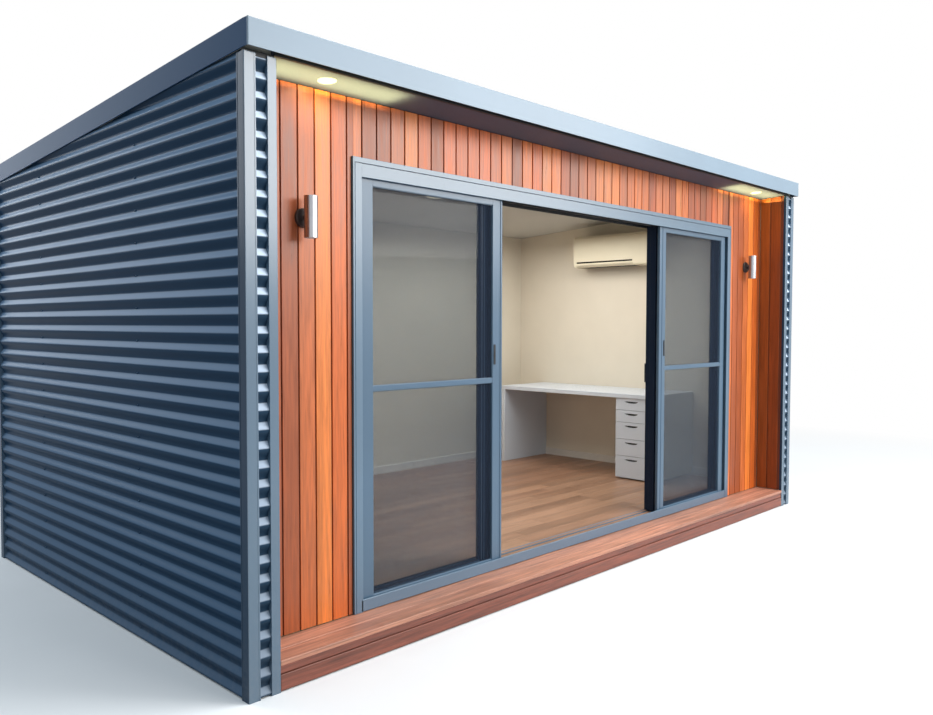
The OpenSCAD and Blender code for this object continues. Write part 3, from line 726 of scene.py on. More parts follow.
@once
def insect_mesh(name, base, cover):
    """Fine woven mesh that is partly see-through."""
    finish = Finish(name, base, 0.6, Alpha=cover, Specular_IOR_Level=0.0)
    threads = []
    for direction in ("X", "Z"):
        values = {"Vector": finish.place(), "Scale": 180.0, "Distortion": 0.2}
        wave = finish.add("TexWave", values, wave_type="BANDS", bands_direction=direction)
        threads.append(wave.outputs[1])
    weave = finish.math("MAXIMUM", *threads)
    finish.base(finish.tones(weave, base, 0.25))
    finish.bump(weave, 0.0001, 0.3)
    return finish


@once
def lit_lens(name, tone, strength):
    """Frosted lens with a lamp behind it."""
    finish = Finish(name, tone, 0.4, Emission_Strength=strength)
    fine = finish.noise(finish.place(), 220.0, 2.0)
    finish.put(finish.shader.inputs["Emission Color"], finish.tones(fine, tone, 0.05))
    finish.bump(fine, 0.0002, 0.3)
    return finish


# Outer skin

POINTS_PER_WAVE = 24


def side_place(side):
    """Places pieces by their distance inwards from the outer face of a side wall."""
    return lambda a, b, t: (side * (HALF_W - a), t, b)


def front_place(side):
    """Places pieces by their distance behind the front, on one side of the pod."""
    return lambda a, b, t: (side * t, FRONT_Y + a, b)


def wave_lines(metal, crest, bottom, top):
    """Outer and inner line of one corrugated sheet, as depth and height."""
    steps = max(1, round((top - bottom) * POINTS_PER_WAVE / metal.wave_pitch))
    outer = []
    for i in range(steps + 1):
        z = bottom + (top - bottom) * i / steps
        turn = 2 * math.pi * (z - CLAD_Z) / metal.wave_pitch
        wave = metal.wave_depth / 2 * (1 - math.cos(turn))
        outer.append((crest + wave + metal.lap_t * i / steps, z))
    return outer, [(a + metal.sheet_t, z) for a, z in outer]


def add_waves(bm, metal, crest, place, start, end, top):
    """Corrugated sheets from the ground up, each lapped over the one below."""
    cover, lap = metal.waves * metal.wave_pitch, metal.wave_pitch * 0.6
    bottom = CLAD_Z
    while bottom < top - lap:
        outer, inner = wave_lines(metal, crest, bottom, min(top, bottom + cover + lap))
        add_sheet(bm, outer, inner, place, [start, end])
        bottom += cover


def valley_heights(metal, top):
    """Heights of every second valley, where the sheets are screwed to the wall."""
    first = CLAD_Z + metal.wave_pitch / 2
    step = 2 * metal.wave_pitch
    return [first + i * step for i in range(int((top - first) / step) + 1)]


class POD_OT_side_cladding(bpy.types.Operator):
    """Builds the corrugated sheets and their screws on the side and back walls"""

    bl_idname = "pod.side_cladding"
    bl_label = "Cladding"
    # Distances from the front end of a side wall
    screw_columns = (0.94, 2.17)
    back_columns = 4

    def execute(self, context):
        metal = context.scene.pod_metal
        # the cladding's upper slopes get a painted sheen
        steel = painted_steel("Cladding paint", metal.cladding, specular=0.01, weathered=metal.pale)
        for name, side in SIDES.items():
            self.build_side(metal, steel, name, side)
        self.build_back(metal, steel)
        return {"FINISHED"}

    def build_side(self, metal, steel, name, side):
        """Sheets whose upper waves end where the sloping barge covers them."""
        low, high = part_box(f"{name}_cladding")
        crest = HALF_W - max(abs(low.x), abs(high.x))
        tuck = 10 * MM

        def under_barge(a, z):
            return max(low.y + MM, min(high.y, FRONT_Y + (EAVE_Z + tuck - z) / FALL))

        bm = bmesh.new()
        add_waves(bm, metal, crest, side_place(side), low.y, under_barge, eave(low.y) + tuck)
        valley = HALF_W - crest - metal.wave_depth - metal.lap_t
        for y in (low.y + column for column in self.screw_columns):
            for z in valley_heights(metal, eave(y) - metal.wave_pitch):
                add_screw(bm, (side * valley, y, z), (side, 0, 0), metal.screw_d)
        node = f"{name}_cladding"
        piece(f"{name}_corrugated_sheets", bm, [steel], [node])

    def build_back(self, metal, steel):
        """Sheets of one height across the back."""
        low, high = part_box("back_cladding")
        bm = bmesh.new()
        add_waves(bm, metal, 0.0, lambda a, b, t: (t, high.y - a, b), low.x, high.x, high.z)
        valley = high.y - metal.wave_depth - metal.lap_t
        for x in middles(low.x, high.x, self.back_columns):
            for z in valley_heights(metal, high.z - metal.wave_pitch):
                add_screw(bm, (x, valley, z), (0, 1, 0), metal.screw_d)
        piece("back_corrugated_sheets", bm, [steel], ["back_cladding"])


class POD_OT_end_strips(bpy.types.Operator):
    """Builds the narrow corrugated strips on the front ends of the side walls"""

    bl_idname = "pod.end_strips"
    bl_label = "End Strips"

    def execute(self, context):
        metal = context.scene.pod_metal
        low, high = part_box("wall_end_strips")
        crest, top = low.y - FRONT_Y, high.z - metal.trim_drop
        bm = bmesh.new()
        for side in SIDES.values():
            place = front_place(side)
            add_waves(bm, metal, crest, place, inner_x("wall_end_strips"), high.x, top)
        # the strips' upper slopes get a near-white painted sheen
        steel = painted_steel(
            "Front strip paint", metal.strip, specular=0.05, weathered=metal.pale_strip
        )
        piece("front_corrugated_strips", bm, [steel], ["wall_end_strips"])
        return {"FINISHED"}


def add_trim_post(bm, metal, outline, side, back=None):
    """Upright trim whose top follows the eave line. Its side faces take the second finish, a darker
    copy of the trim paint as painted shade.
    """

    def place(a, b, t):
        y = FRONT_Y + b if back is None else back - b
        return (side * (HALF_W - a), y, t)

    def top(a, b):
        return eave(place(a, b, 0)[1]) - metal.trim_drop

    for face in add_prism(bm, outline, place, [0.0, top]):
        widths = [abs(vertex.co.x) for vertex in face.verts]
        if min(widths) > HALF_W - MM or max(widths) < ROOM_X + MM:
            face.material_index = 1


class POD_OT_corner_trims(bpy.types.Operator):
    """Builds the folded trims on the corners and beside the recess"""

    bl_idname = "pod.corner_trims"
    bl_label = "Corner and Reveal Trims"

    def execute(self, context):
        metal = context.scene.pod_metal
        # the trim paint as a lit copy for the front faces and a darker copy as painted shade for
        # the side faces
        steels = [
            painted_steel("Trim paint", metal.trim, specular=1.0),
            painted_steel("Trim side paint", metal.trim_side, specular=0.1),
        ]
        corner, reveal = self.corner_outline(metal), self.reveal_outline(metal)
        rows = (
            ("front_corner", corner, None), ("back_corner", corner, BACK_Y),
            ("reveal", reveal, None),
        )
        for name, outline, back in rows:
            bm = bmesh.new()
            for side in SIDES.values():
                add_trim_post(bm, metal, outline, side, back)
            piece(f"{name}_flashings", bm, steels, [f"{name}_trims"])
        self.build_closures(context.scene.pod_door, metal)
        return {"FINISHED"}

    def corner_outline(self, metal):
        """Section of a corner trim with hems, counted inwards from its two outer faces."""
        w, t, hem, proud = TRIM_W, TRIM_T, metal.hem_w, metal.hem_t
        small = metal.bend * 0.3
        return rounded([
            (0, 0), (w - hem, 0, 0), (w - hem, -proud, small), (w, -proud, small), (w, t, 0),
            (t, t, 0), (t, w, 0), (-proud, w, small), (-proud, w - hem, small), (0, w - hem, 0),
        ], metal.bend)

    def reveal_outline(self, metal):
        """Section of the trim at the inner edge of a wall end."""
        x0, x1 = HALF_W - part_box("reveal_trims")[1].x, HALF_W - ROOM_X
        hem, proud, small = metal.hem_w, metal.hem_t, metal.bend * 0.3
        return rounded([
            (x0, -proud, small), (x0 + hem, -proud, small), (x0 + hem, 0, 0), (x1, 0),
            (x1, TRIM_T, 0), (x0, TRIM_T, 0),
        ], metal.bend)

    def build_closures(self, door, metal):
        """Black strips that close the gap between the wall ends and the fascia, as painted shade
        under the fascia.
        """
        setback, bottom = 5 * MM, EAVE_Z - 2 * metal.trim_drop
        bm = bmesh.new()
        for side in SIDES.values():
            a, b = sided(side, HALF_W - setback, ROOM_X + setback)
            corner = (b, FRONT_Y + TRIM_T - MM, EAVE_Z - MM)
            add_bar(bm, (a, FRONT_Y + setback, bottom), corner, MM)
        piece("wall_end_closures", bm, [black(door)])


# Roof


class POD_OT_roof_edges(bpy.types.Operator):
    """Builds the folded fascia and the barges"""

    bl_idname = "pod.roof_edges"
    bl_label = "Fascia and Barges"

    def execute(self, context):
        metal = context.scene.pod_metal
        barge = shaded_barge_paint(metal)
        # the fascia paint is the lit copy of the barge paint, with painted light
        fascia = painted_steel("Fascia paint", metal.fascia, 0.3)
        self.build_fascia(metal, [fascia, barge, black(context.scene.pod_door)])
        self.build_barges(metal, barge)
        return {"FINISHED"}

    def build_fascia(self, metal, finishes):
        """Folded front sheet whose underside is painted black as shade and set up behind a narrow
        lip.
        """
        low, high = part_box("front_fascia")
        lip_t, lip_h, fold, cap_t = 3 * MM, 9 * MM, 6 * MM, 2 * MM
        back, crisp = low.y + fold, 0.5 * MM
        sheet = rounded([
            (low.y, low.z), (low.y + lip_t, low.z), (low.y + lip_t, high.z - MM, 0),
            (high.y, high.z - MM, 0), (high.y, high.z), (low.y, high.z, metal.bend),
        ], crisp)
        bm = bmesh.new()
        add_prism(bm, sheet, along_x, [low.x + fold, high.x - fold])
        corner = rounded([
            (high.x - fold, low.y, 0), (high.x, low.y, fold * 0.9), (high.x, back, 0),
            (high.x - cap_t, back, 0), (high.x - cap_t, low.y + lip_t, 0),
            (high.x - fold, low.y + lip_t, 0),
        ], 0.0, 6)
        for side in SIDES.values():
            add_prism(bm, corner, mirrored(side), [low.z, high.z])
        # the fascia's side-facing end caps take the darker barge copy as painted shade
        for x in (low.x, high.x - cap_t):
            add_bar(bm, (x, back, low.z), (x + cap_t, high.y, high.z - MM), 0.3 * MM, 1)
        # the underside takes the black finish as painted shade under the fascia
        inside = (low.x + cap_t, low.y + lip_t, low.z + lip_h)
        add_bar(bm, inside, (high.x - cap_t, high.y, high.z - 2 * MM), crisp, 2)
        piece("fascia_flashing", bm, finishes, ["front_fascia"])

    def build_barges(self, metal, steel):
        """Sloping side sheets that fold over the edges of the roof."""
        high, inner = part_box("barges")[1], inner_x("barges")
        height = high.z - EAVE_Z
        outline = rounded([
            (high.x, 0), (HALF_W, 0, 0), (HALF_W, ROOF_SEAT, 0), (inner, ROOF_SEAT, MM),
            (inner, height), (high.x, height),
        ], metal.bend * 0.6)
        stations = [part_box("front_fascia")[1].y, FRONT_Y, high.y]
        bm = bmesh.new()
        for side in SIDES.values():
            add_prism(bm, outline, lambda a, b, t: (side * a, t, eave(t) + b), stations)
        piece("barge_flashings", bm, [steel], ["barges"])


class POD_OT_roof_sheet(bpy.types.Operator):
    """Builds the ribbed roof sheet and its screws"""

    bl_idname = "pod.roof_sheet"
    bl_label = "Roof Sheet"
    # Shares of the roof's depth, and of the distance between two ribs
    screw_rows = (0.05, 0.35, 0.65, 0.95)
    swages = (0.36, 0.64)

    def execute(self, context):
        metal = context.scene.pod_metal
        low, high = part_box("roof_panel")
        crown = metal.roof_t + metal.rib_h
        bm = bmesh.new()
        add_prism(bm, self.outline(metal, low.x, high.x), self.place, [low.y, high.y])
        for x in middles(low.x, high.x, metal.ribs):
            for share in self.screw_rows:
                spot = self.place(x, crown, low.y + (high.y - low.y) * share)
                add_screw(bm, spot, (0, FALL, 1), metal.screw_d)
        steel = painted_steel("Roof paint", metal.roof, 0.34, 0.1)
        piece("ribbed_roof_sheet", bm, [steel], ["roof_panel"])
        return {"FINISHED"}

    def place(self, a, b, t):
        """Place given by width, height over the roof's seat, and depth."""
        return (a, t, EAVE_Z - FALL * (t - FRONT_Y) + ROOF_SEAT + b)

    def outline(self, metal, low, high):
        """Section of the roof panel with its ribs and the small swages between them."""
        t, top = metal.roof_t, metal.roof_t + metal.rib_h
        foot, crown = metal.rib_foot / 2, metal.rib_top / 2
        swage_w, swage_h, soft = 9 * MM, 3 * MM, 2 * MM
        pitch = (high - low) / metal.ribs
        points = [(low, 0, 0), (low, t)]
        for i in range(metal.ribs):
            x = low + (i + 0.5) * pitch
            points += [(x - foot, t), (x - crown, top), (x + crown, top), (x + foot, t)]
            swages = [x + pitch * share for share in self.swages]
            for s in swages if i < metal.ribs - 1 else []:
                points += [(s - swage_w, t, soft), (s, t + swage_h), (s + swage_w, t, soft)]
        return rounded(points + [(high, t), (high, 0, 0)], 3 * MM)


class POD_OT_rainwater(bpy.types.Operator):
    """Builds the gutter with its brackets and the downpipe with its straps"""

    bl_idname = "pod.rainwater"
    bl_label = "Gutter and Downpipe"
    brackets = 7
    strap_heights = (0.35, 1.2, 2.05)

    def execute(self, context):
        metal = context.scene.pod_metal
        steel = shaded_barge_paint(metal)
        self.build_gutter(metal, steel)
        self.build_downpipe(metal, steel)
        return {"FINISHED"}

    def build_gutter(self, metal, steel):
        """Square gutter with a rolled outer edge, stop ends and brackets."""
        low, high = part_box("rear_gutter")
        t, bead = metal.sheet_t, 7 * MM
        front, back, rim = low.y, high.y - bead, high.z - bead

        def trough(inset, top):
            points = [
                (front + inset, high.z, 0), (front + inset, low.z + inset),
                (back - inset, low.z + inset, 12 * MM), (back - inset, top, 0),
            ]
            return rounded(points, 6 * MM)

        bm = bmesh.new()
        add_sheet(bm, trough(0.0, rim), trough(t, rim), along_x, [low.x, high.x])
        turns = [2 * math.pi * i / 16 for i in range(16)]
        roll = [(back + bead * math.cos(a), rim + bead * math.sin(a)) for a in turns]
        add_prism(bm, roll, along_x, [low.x, high.x])
        for x in (low.x, high.x - 2 * t):
            add_prism(bm, trough(0.0, high.z), along_x, [x, x + 2 * t])
        half_w, drop, strap_t = 12 * MM, 3 * MM, 3 * MM
        for x in middles(low.x, high.x, self.brackets):
            corner = (x + half_w, back, high.z - drop)
            add_bar(bm, (x - half_w, front, high.z - drop - strap_t), corner, MM)
        piece("box_gutter", bm, [steel], ["rear_gutter"])

    def build_downpipe(self, metal, steel):
        """Square pipe held by straps with screwed ears."""
        low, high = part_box("downpipe")

        def square(inset):
            x0, x1, y0, y1 = low.x + inset, high.x - inset, low.y + inset, high.y - inset
            return rounded([(x0, y0), (x1, y0), (x1, y1), (x0, y1)], 9 * MM)

        into_gutter = high.z + 3 * MM
        bm = bmesh.new()
        add_sheet(bm, square(0.0), square(2 * metal.sheet_t), along_z, [low.z, into_gutter], True)
        outer, inner = square(-1.6 * MM), square(0.3 * MM)
        half_h, ear_w, ear_t, y = 15 * MM, 25 * MM, 3 * MM, low.y + MM
        for z in self.strap_heights:
            add_sheet(bm, outer, inner, along_z, [z - half_h, z + half_h], True)
            for x0 in (low.x - ear_w, high.x):
                corner = (x0 + ear_w, y + ear_t, z + half_h)
                add_bar(bm, (x0, y, z - half_h), corner, 0.6 * MM)
                spot = (x0 + ear_w / 2, y + ear_t, z)
                add_screw(bm, spot, (0, 1, 0), metal.screw_d * 0.8)
        piece("square_downpipe", bm, [steel], ["downpipe"])


# Timber front


def recess_place(side):
    """Places pieces by their depth and their distance outwards from the side of the recess."""
    return lambda a, b, t: (side * (ROOM_X + b), a, t)


def add_boards(bm, timber, place, start, end, z0, top, thickness, first):
    """Row of upright boards on a backing darkened as painted shade in the channels, with channels
    at a fixed pitch.
    """
    half, r, depth = timber.channel_w / 2, timber.arris, timber.channel_d
    narrowest = 25 * MM
    k = math.floor((start - first) / timber.pitch)
    while first + k * timber.pitch < end - half:
        left = first + k * timber.pitch
        face0, face1 = max(start, left + half), min(end, left + timber.pitch - half)
        if face1 - face0 > narrowest:
            outline = rounded([(face0, depth, 0), (face0, 0), (face1, 0), (face1, depth, 0)], r)
            add_prism(bm, outline, place, [z0, top])
        k += 1
    backing = [(start, depth), (end, depth), (end, thickness), (start, thickness)]
    add_prism(bm, backing, place, [z0, top], 1)


class POD_OT_timber_front(bpy.types.Operator):
    """Builds the upright boards beside and over the door and in the recess"""

    bl_idname = "pod.timber_front"
    bl_label = "Timber Front"

    def execute(self, context):
        timber = context.scene.pod_timber
        self.build_front(timber, STEP_Z + timber.end_gap)
        self.build_recess(timber, STEP_Z + timber.end_gap)
        return {"FINISHED"}

    def build_front(self, timber, bottom):
        """Boards left, right and over the door."""

        def place(a, b, t):
            return (a, TIMBER_Y + b, t)

        def top(a, b):
            return eave(TIMBER_Y + b) - timber.end_gap

        finishes = cedar(timber)
        first = timber.first - HALF_W
        rows = {
            "timber_left": (-ROOM_X, -DOOR_X, bottom),
            "timber_right": (DOOR_X, ROOM_X, bottom),
            "timber_header": (-DOOR_X, DOOR_X, HEAD_TOP_Z),
        }
        for node, (start, end, z0) in rows.items():
            bm = bmesh.new()
            add_boards(bm, timber, place, start, end, z0, top, TIMBER_T, first)
            piece(f"{node}_boards", bm, finishes, [node])

    def build_recess(self, timber, bottom):
        """Boards on the inner sides of the wall ends, in a darker copy of the cedar as painted
        shade.
        """

        def top(a, b):
            return eave(a) - timber.end_gap

        # depth 0.45 darkens the recess boards as painted shade
        finishes = cedar(timber, "Oiled cedar in the recess", 0.45)
        start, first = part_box("reveal_boards")[0].y, FRONT_Y + timber.recess_first
        thickness = LINING_X - ROOM_X
        bm = bmesh.new()
        for side in SIDES.values():
            place = recess_place(side)
            add_boards(bm, timber, place, start, TIMBER_Y, bottom, top, thickness, first)
        piece("recess_boards", bm, finishes, ["reveal_boards"])


class POD_OT_soffit_edge(bpy.types.Operator):
    """Gives the soffit its paint, its dark edge trim and its two downlights"""

    bl_idname = "pod.soffit_edge"
    bl_label = "Soffit"

    def execute(self, context):
        timber = context.scene.pod_timber
        dress("soffit", plain("Soffit paint", timber.soffit, 0.6, grain=160.0, depth=0.0003))
        self.build_edge_trim(context.scene.pod_door)
        self.build_downlights(context.scene.pod_room)
        return {"FINISHED"}

    def build_edge_trim(self, door):
        """Black trim that covers the front edge of the soffit, as painted shade in the gap behind
        the fascia.
        """
        low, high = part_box("soffit")
        face, leg, drop = low.y - 4 * MM, low.y + 12 * MM, EAVE_Z - 3 * MM
        seat, rise = EAVE_Z + 2 * MM, EAVE_Z + 28 * MM
        outline = rounded([
            (face, drop), (leg, drop), (leg, seat, 0), (low.y, seat, 0), (low.y, rise, 0),
            (face, rise, 0),
        ], 0.8 * MM)
        bm = bmesh.new()
        add_prism(bm, outline, along_x, [low.x, high.x])
        piece("soffit_edge_trim", bm, [black(door)])

    def build_downlights(self, room):
        """Round downlights, each a body with a raised bezel and a sunk lens."""
        low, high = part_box("soffit_downlights")
        r = room.lens_d / 2
        body_r, body_h, rim, seat = r * 0.78, 24 * MM, 3 * MM, 2.5 * MM
        x, y = high.x - r, (low.y + high.y) / 2
        body = [
            (0, -body_h), (body_r, -body_h), (body_r, 0), (r, 0), (r, rim / 2), (r * 0.94, rim),
            (r * 0.8, 2 * MM), (r * 0.76, -3 * MM), (0, -3 * MM),
        ]
        glass = [(0, -seat), (r * 0.755, -seat), (r * 0.74, -MM), (0, 0.5 * MM)]
        bezel = plain("Downlight bezel", (0.45, 0.4, 0.3), 0.4)
        bm = bmesh.new()
        for side in SIDES.values():
            matrix = facing((side * x, y, eave(y)), (0, -FALL, -1))
            add_turned(bm, body, matrix, 40)
            add_turned(bm, glass, matrix, 40, 1)
        lens = lit_lens("Downlight lens", room.warm, 0.9)
        piece("soffit_lights", bm, [bezel, lens], ["soffit_downlights"])


class POD_OT_step(bpy.types.Operator):
    """Builds the boards of the step"""

    bl_idname = "pod.step"
    bl_label = "Step"

    def execute(self, context):
        timber = context.scene.pod_timber
        low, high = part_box("step_tread")
        gap, ends = timber.board_gap / 2, [low.x + MM, high.x - MM]
        nosing, middle = 4 * MM, (low.y + high.y) / 2
        bm = bmesh.new()
        for y0, y1 in ((low.y, middle - gap), (middle + gap, high.y)):
            outline = rounded([(y0, low.z), (y1, low.z), (y1, high.z, MM), (y0, high.z)], nosing)
            add_prism(bm, outline, along_x, ends)
        wood = lengthwise("Step boards", timber.tread, 0.45, 0.5)
        piece("step_tread_boards", bm, [wood], ["step_tread"])
        low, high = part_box("step_riser")
        joint = timber.joint_z
        bm = bmesh.new()
        for z0, z1, setback in ((low.z, joint - gap, MM), (joint + gap, high.z - MM, 5 * MM)):
            y0 = low.y + setback
            outline = rounded([(y0, z0), (high.y, z0, 0), (high.y, z1, 0), (y0, z1)], 3 * MM)
            add_prism(bm, outline, along_x, ends)
        wood = lengthwise("Riser boards", timber.riser, 0.45, 0.55)
        piece("step_riser_boards", bm, [wood], ["step_riser"])
        return {"FINISHED"}


# Door set


class POD_OT_door_frame(bpy.types.Operator):
    """Builds the head, jambs, flanges, sill and tracks of the door frame"""

    bl_idname = "pod.door_frame"
    bl_label = "Door Frame"

    def execute(self, context):
        door = context.scene.pod_door
        finishes = [powder_coat("Powder coat", door.metal), black(door)]
        self.build_jambs(door, finishes)
        self.build_head(door, finishes)
        self.build_sill(door, context.scene.pod_room, finishes)
        return {"FINISHED"}

    def build_jambs(self, door, finishes):
        """Jambs with a front lip, the flanges round them and the black painted shadow lines beside
        the flanges.
        """
        low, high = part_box("door_jambs")
        jamb_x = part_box("door_head")[1].x
        lip = levels("head_guides", 1)[1]
        g, e = door.groove, door.ease
        section = rounded([
            (jamb_x - door.lap, low.y), (DOOR_X - g, low.y), (DOOR_X - g, low.y + g, 0),
            (DOOR_X, low.y + g, 0), (DOOR_X, high.y, 0), (jamb_x, high.y), (jamb_x, lip, 0),
            (jamb_x - door.lap, lip),
        ], e)
        flange = rounded([
            (DOOR_X, low.y), (high.x, low.y), (high.x, TIMBER_Y, 0), (DOOR_X, TIMBER_Y, 0),
        ], e)
        bm = bmesh.new()
        for side in SIDES.values():
            add_prism(bm, section, mirrored(side), [low.z, HEAD_TOP_Z])
            add_prism(bm, flange, mirrored(side), [low.z, high.z])
            self.add_shadow_line(bm, side, high)
        head_flange = rounded([
            (low.y, HEAD_TOP_Z + g), (low.y, high.z), (TIMBER_Y, high.z, 0),
            (TIMBER_Y, HEAD_TOP_Z + g, 0),
        ], e)
        add_prism(bm, head_flange, along_x, [-DOOR_X, DOOR_X])
        piece("door_jambs_and_flanges", bm, finishes, ["door_jambs"])

    def add_shadow_line(self, bm, side, high):
        """Black strip between the side flange and the timber, a painted shadow line."""
        a, b = sided(side, high.x - MM, high.x + 4 * MM)
        corner = (b, TIMBER_Y + MM, high.z)
        add_bar(bm, (a, TIMBER_Y - 2 * MM, STEP_Z), corner, 0.5 * MM, 1)

    def build_head(self, door, finishes):
        """Head whose front fin carries its face down over the tops of the screens."""
        low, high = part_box("door_head")
        lip_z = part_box("head_guides")[0].z
        ys = levels("head_guides", 1)
        face = [(low.y, lip_z), (low.y, high.z), (ys[1], high.z, 0), (ys[1], lip_z)]
        bm = bmesh.new()
        add_prism(bm, rounded(face, door.ease), along_x, [low.x + door.lap, high.x - door.lap])
        core = [(ys[1], low.z), (ys[1], high.z), (high.y, high.z), (high.y, low.z)]
        add_prism(bm, core, along_x, [low.x, high.x], 1)
        for y0, y1 in zip(ys[2::2], ys[3::2]):
            add_bar(bm, (low.x, y0, lip_z), (high.x, y1, low.z), door.ease * 0.6, 1)
        piece("door_head_section", bm, finishes, ["door_head", "head_guides"])

    def build_sill(self, door, room, finishes):
        """Sill plate with its front lip, its rails and the oak strips between them."""
        low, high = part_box("door_sill")
        lip_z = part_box("sill_tracks")[1].z
        ys = levels("sill_tracks", 1)
        setback, drip = 6 * MM, 16 * MM
        start, ends = low.y + setback, [low.x, high.x]
        plate = [(start, low.z), (high.y, low.z), (high.y, high.z), (start, high.z)]
        bm = bmesh.new()
        add_prism(bm, plate, along_x, ends, 1)
        piece("sill_plate", bm, finishes, ["door_sill"])
        lip = rounded([
            (ys[0], high.z - drip), (ys[0] + setback - MM, high.z - drip, 0), (ys[1], high.z, 0),
            (ys[1], lip_z, 2 * MM), (ys[0], lip_z, 3 * MM),
        ], door.ease)
        bm = bmesh.new()
        add_prism(bm, lip, along_x, ends)
        for y0, y1 in zip(ys[2::2], ys[3::2]):
            rail = [(y0, high.z, 0), (y1, high.z, 0), (y1, FLOOR_Z), (y0, FLOOR_Z)]
            add_prism(bm, rounded(rail, door.ease), along_x, ends)
        self.add_infill(bm, ys, high.z, FLOOR_Z)
        piece("sill_track_rails", bm, finishes + [oak(room)], ["sill_tracks"])

    def add_infill(self, bm, ys, low_z, high_z):
        """Oak strips on both sides of the leaves' rail, clear of the rollers."""
        reach_x = inner_x("fixed_frames") - 8 * MM
        strip_w, clear = 60 * MM, 10 * MM
        for y0, y1 in ((ys[4] - strip_w, ys[4] - clear), (ys[5] + clear, ys[6])):
            add_bar(bm, (-reach_x, y0, low_z), (reach_x, y1, high_z - 2 * MM), MM, 2)


def screen_coat(door):
    """Coat of the insect screens."""
    return powder_coat("Screen powder coat", door.screen, 0.6)


def panel_coats(door):
    """Coat darkened as painted shade, black and the coat of the screens, for the frames of the
    glass panels.
    """
    return [powder_coat("Shaded powder coat", door.shaded, 0.1), black(door), screen_coat(door)]


def add_panel(bm, door, low, high, opening, glass):
    """Frame of a glass panel with beads and gaskets. The glass is given by its two faces."""
    x0, x1, z0, z1 = opening
    e, tuck = door.ease, 0.4 * MM
    for a, b in ((low.x, x0), (x1, high.x)):
        add_bar(bm, (a, low.y, low.z), (b, high.y, high.z), e)
    # the bottom rail takes the lighter screen coat instead of the darker copy with painted shade
    for a, b, material in ((low.z, z0, 2), (z1, high.z, 0)):
        add_bar(bm, (x0 - tuck, low.y + tuck, a), (x1 + tuck, high.y - tuck, b), e, material)
    add_bead(bm, door, opening, low.y, glass[0], 1)
    add_bead(bm, door, opening, high.y, glass[1], -1)


def add_bead(bm, door, opening, face, pane, inward):
    """Sloping bead and black gasket on one side of a pane."""
    x0, x1, z0, z1 = opening
    w, g = door.bead_w, door.gasket
    near, seat = face + inward * 1.5 * MM, pane - inward * MM
    bead = [(0, near), (3 * MM, near), (w, seat - inward * 2 * MM), (w, seat), (0, seat)]
    add_ring(bm, (x0 - MM, x1 + MM, z0 - MM, z1 + MM), bead)
    inner, touch = w - 2 * MM, pane - inward * 0.2 * MM
    gasket = [(inner, seat), (w + g, seat + inward * 0.4 * MM), (w + g, touch), (inner, touch)]
    add_ring(bm, opening, gasket, 1)


def add_ridges(bm, stile, front, low, high):
    """Two fine ridges that run up the front of a stile, in the lighter screen coat as painted
    highlight lines.
    """
    half_w, proud, soft = 2.2 * MM, MM, 0.4 * MM
    for share in (0.25, 0.62):
        x = stile[0] + (stile[1] - stile[0]) * share
        add_bar(bm, (x - half_w, front - proud, low), (x + half_w, front + MM, high), soft, 2)


def rectangle(node):
    """Opening that a pane fills, as x0, x1, z0, z1."""
    low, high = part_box(node)
    return low.x, high.x, low.z, high.z


def panel_bottom(top):
    """Bottom of a sliding panel, which clears its rail by as much as its top clears the head."""
    return levels("sill_tracks", 2)[1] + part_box("door_head")[0].z - top


def add_rollers(bm, door, bottom, low, high):
    """Grooved rollers under a panel, on short axles."""
    r, half = door.roller_r, door.roller_w / 2
    axle, stub, waist = 3 * MM, half + 2 * MM, r * 0.86
    profile = [
        (0, -stub), (axle, -stub), (axle, -half), (r, -half), (r, -half * 0.6),
        (waist, -half * 0.3), (waist, half * 0.3), (r, half * 0.6), (r, half), (axle, half),
        (axle, stub), (0, stub),
    ]
    for x in (low.x + door.roller_inset, high.x - door.roller_inset):
        matrix = facing((x, (low.y + high.y) / 2, bottom + r), (0, 1, 0))
        add_turned(bm, profile, matrix, 24, 1)


class POD_OT_fixed_panels(bpy.types.Operator):
    """Builds the two fixed glass panels"""

    bl_idname = "pod.fixed_panels"
    bl_label = "Fixed Panels"

    def execute(self, context):
        door = context.scene.pod_door
        low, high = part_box("fixed_frames")
        pane_low, pane_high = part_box("fixed_glass")
        near, pane_near = inner_x("fixed_frames"), inner_x("fixed_glass")
        bm, panes = bmesh.new(), bmesh.new()
        for side in SIDES.values():
            a, b = sided(side, near, high.x)
            c, d = sided(side, pane_near, pane_high.x)
            corners = Vector((a, low.y, low.z)), Vector((b, high.y, high.z))
            opening = (c, d, pane_low.z, pane_high.z)
            add_panel(bm, door, *corners, opening, (pane_low.y, pane_high.y))
            add_bar(panes, (c, pane_low.y, pane_low.z), (d, pane_high.y, pane_high.z), MM)
            add_ridges(bm, (side * pane_near, side * near), low.y, pane_low.z, pane_high.z)
        piece("fixed_panel_frames", bm, panel_coats(door), ["fixed_frames"])
        clear = [glazing("Clear glazing", door.glass)]
        piece("fixed_panes", panes, clear, ["fixed_glass"])
        return {"FINISHED"}


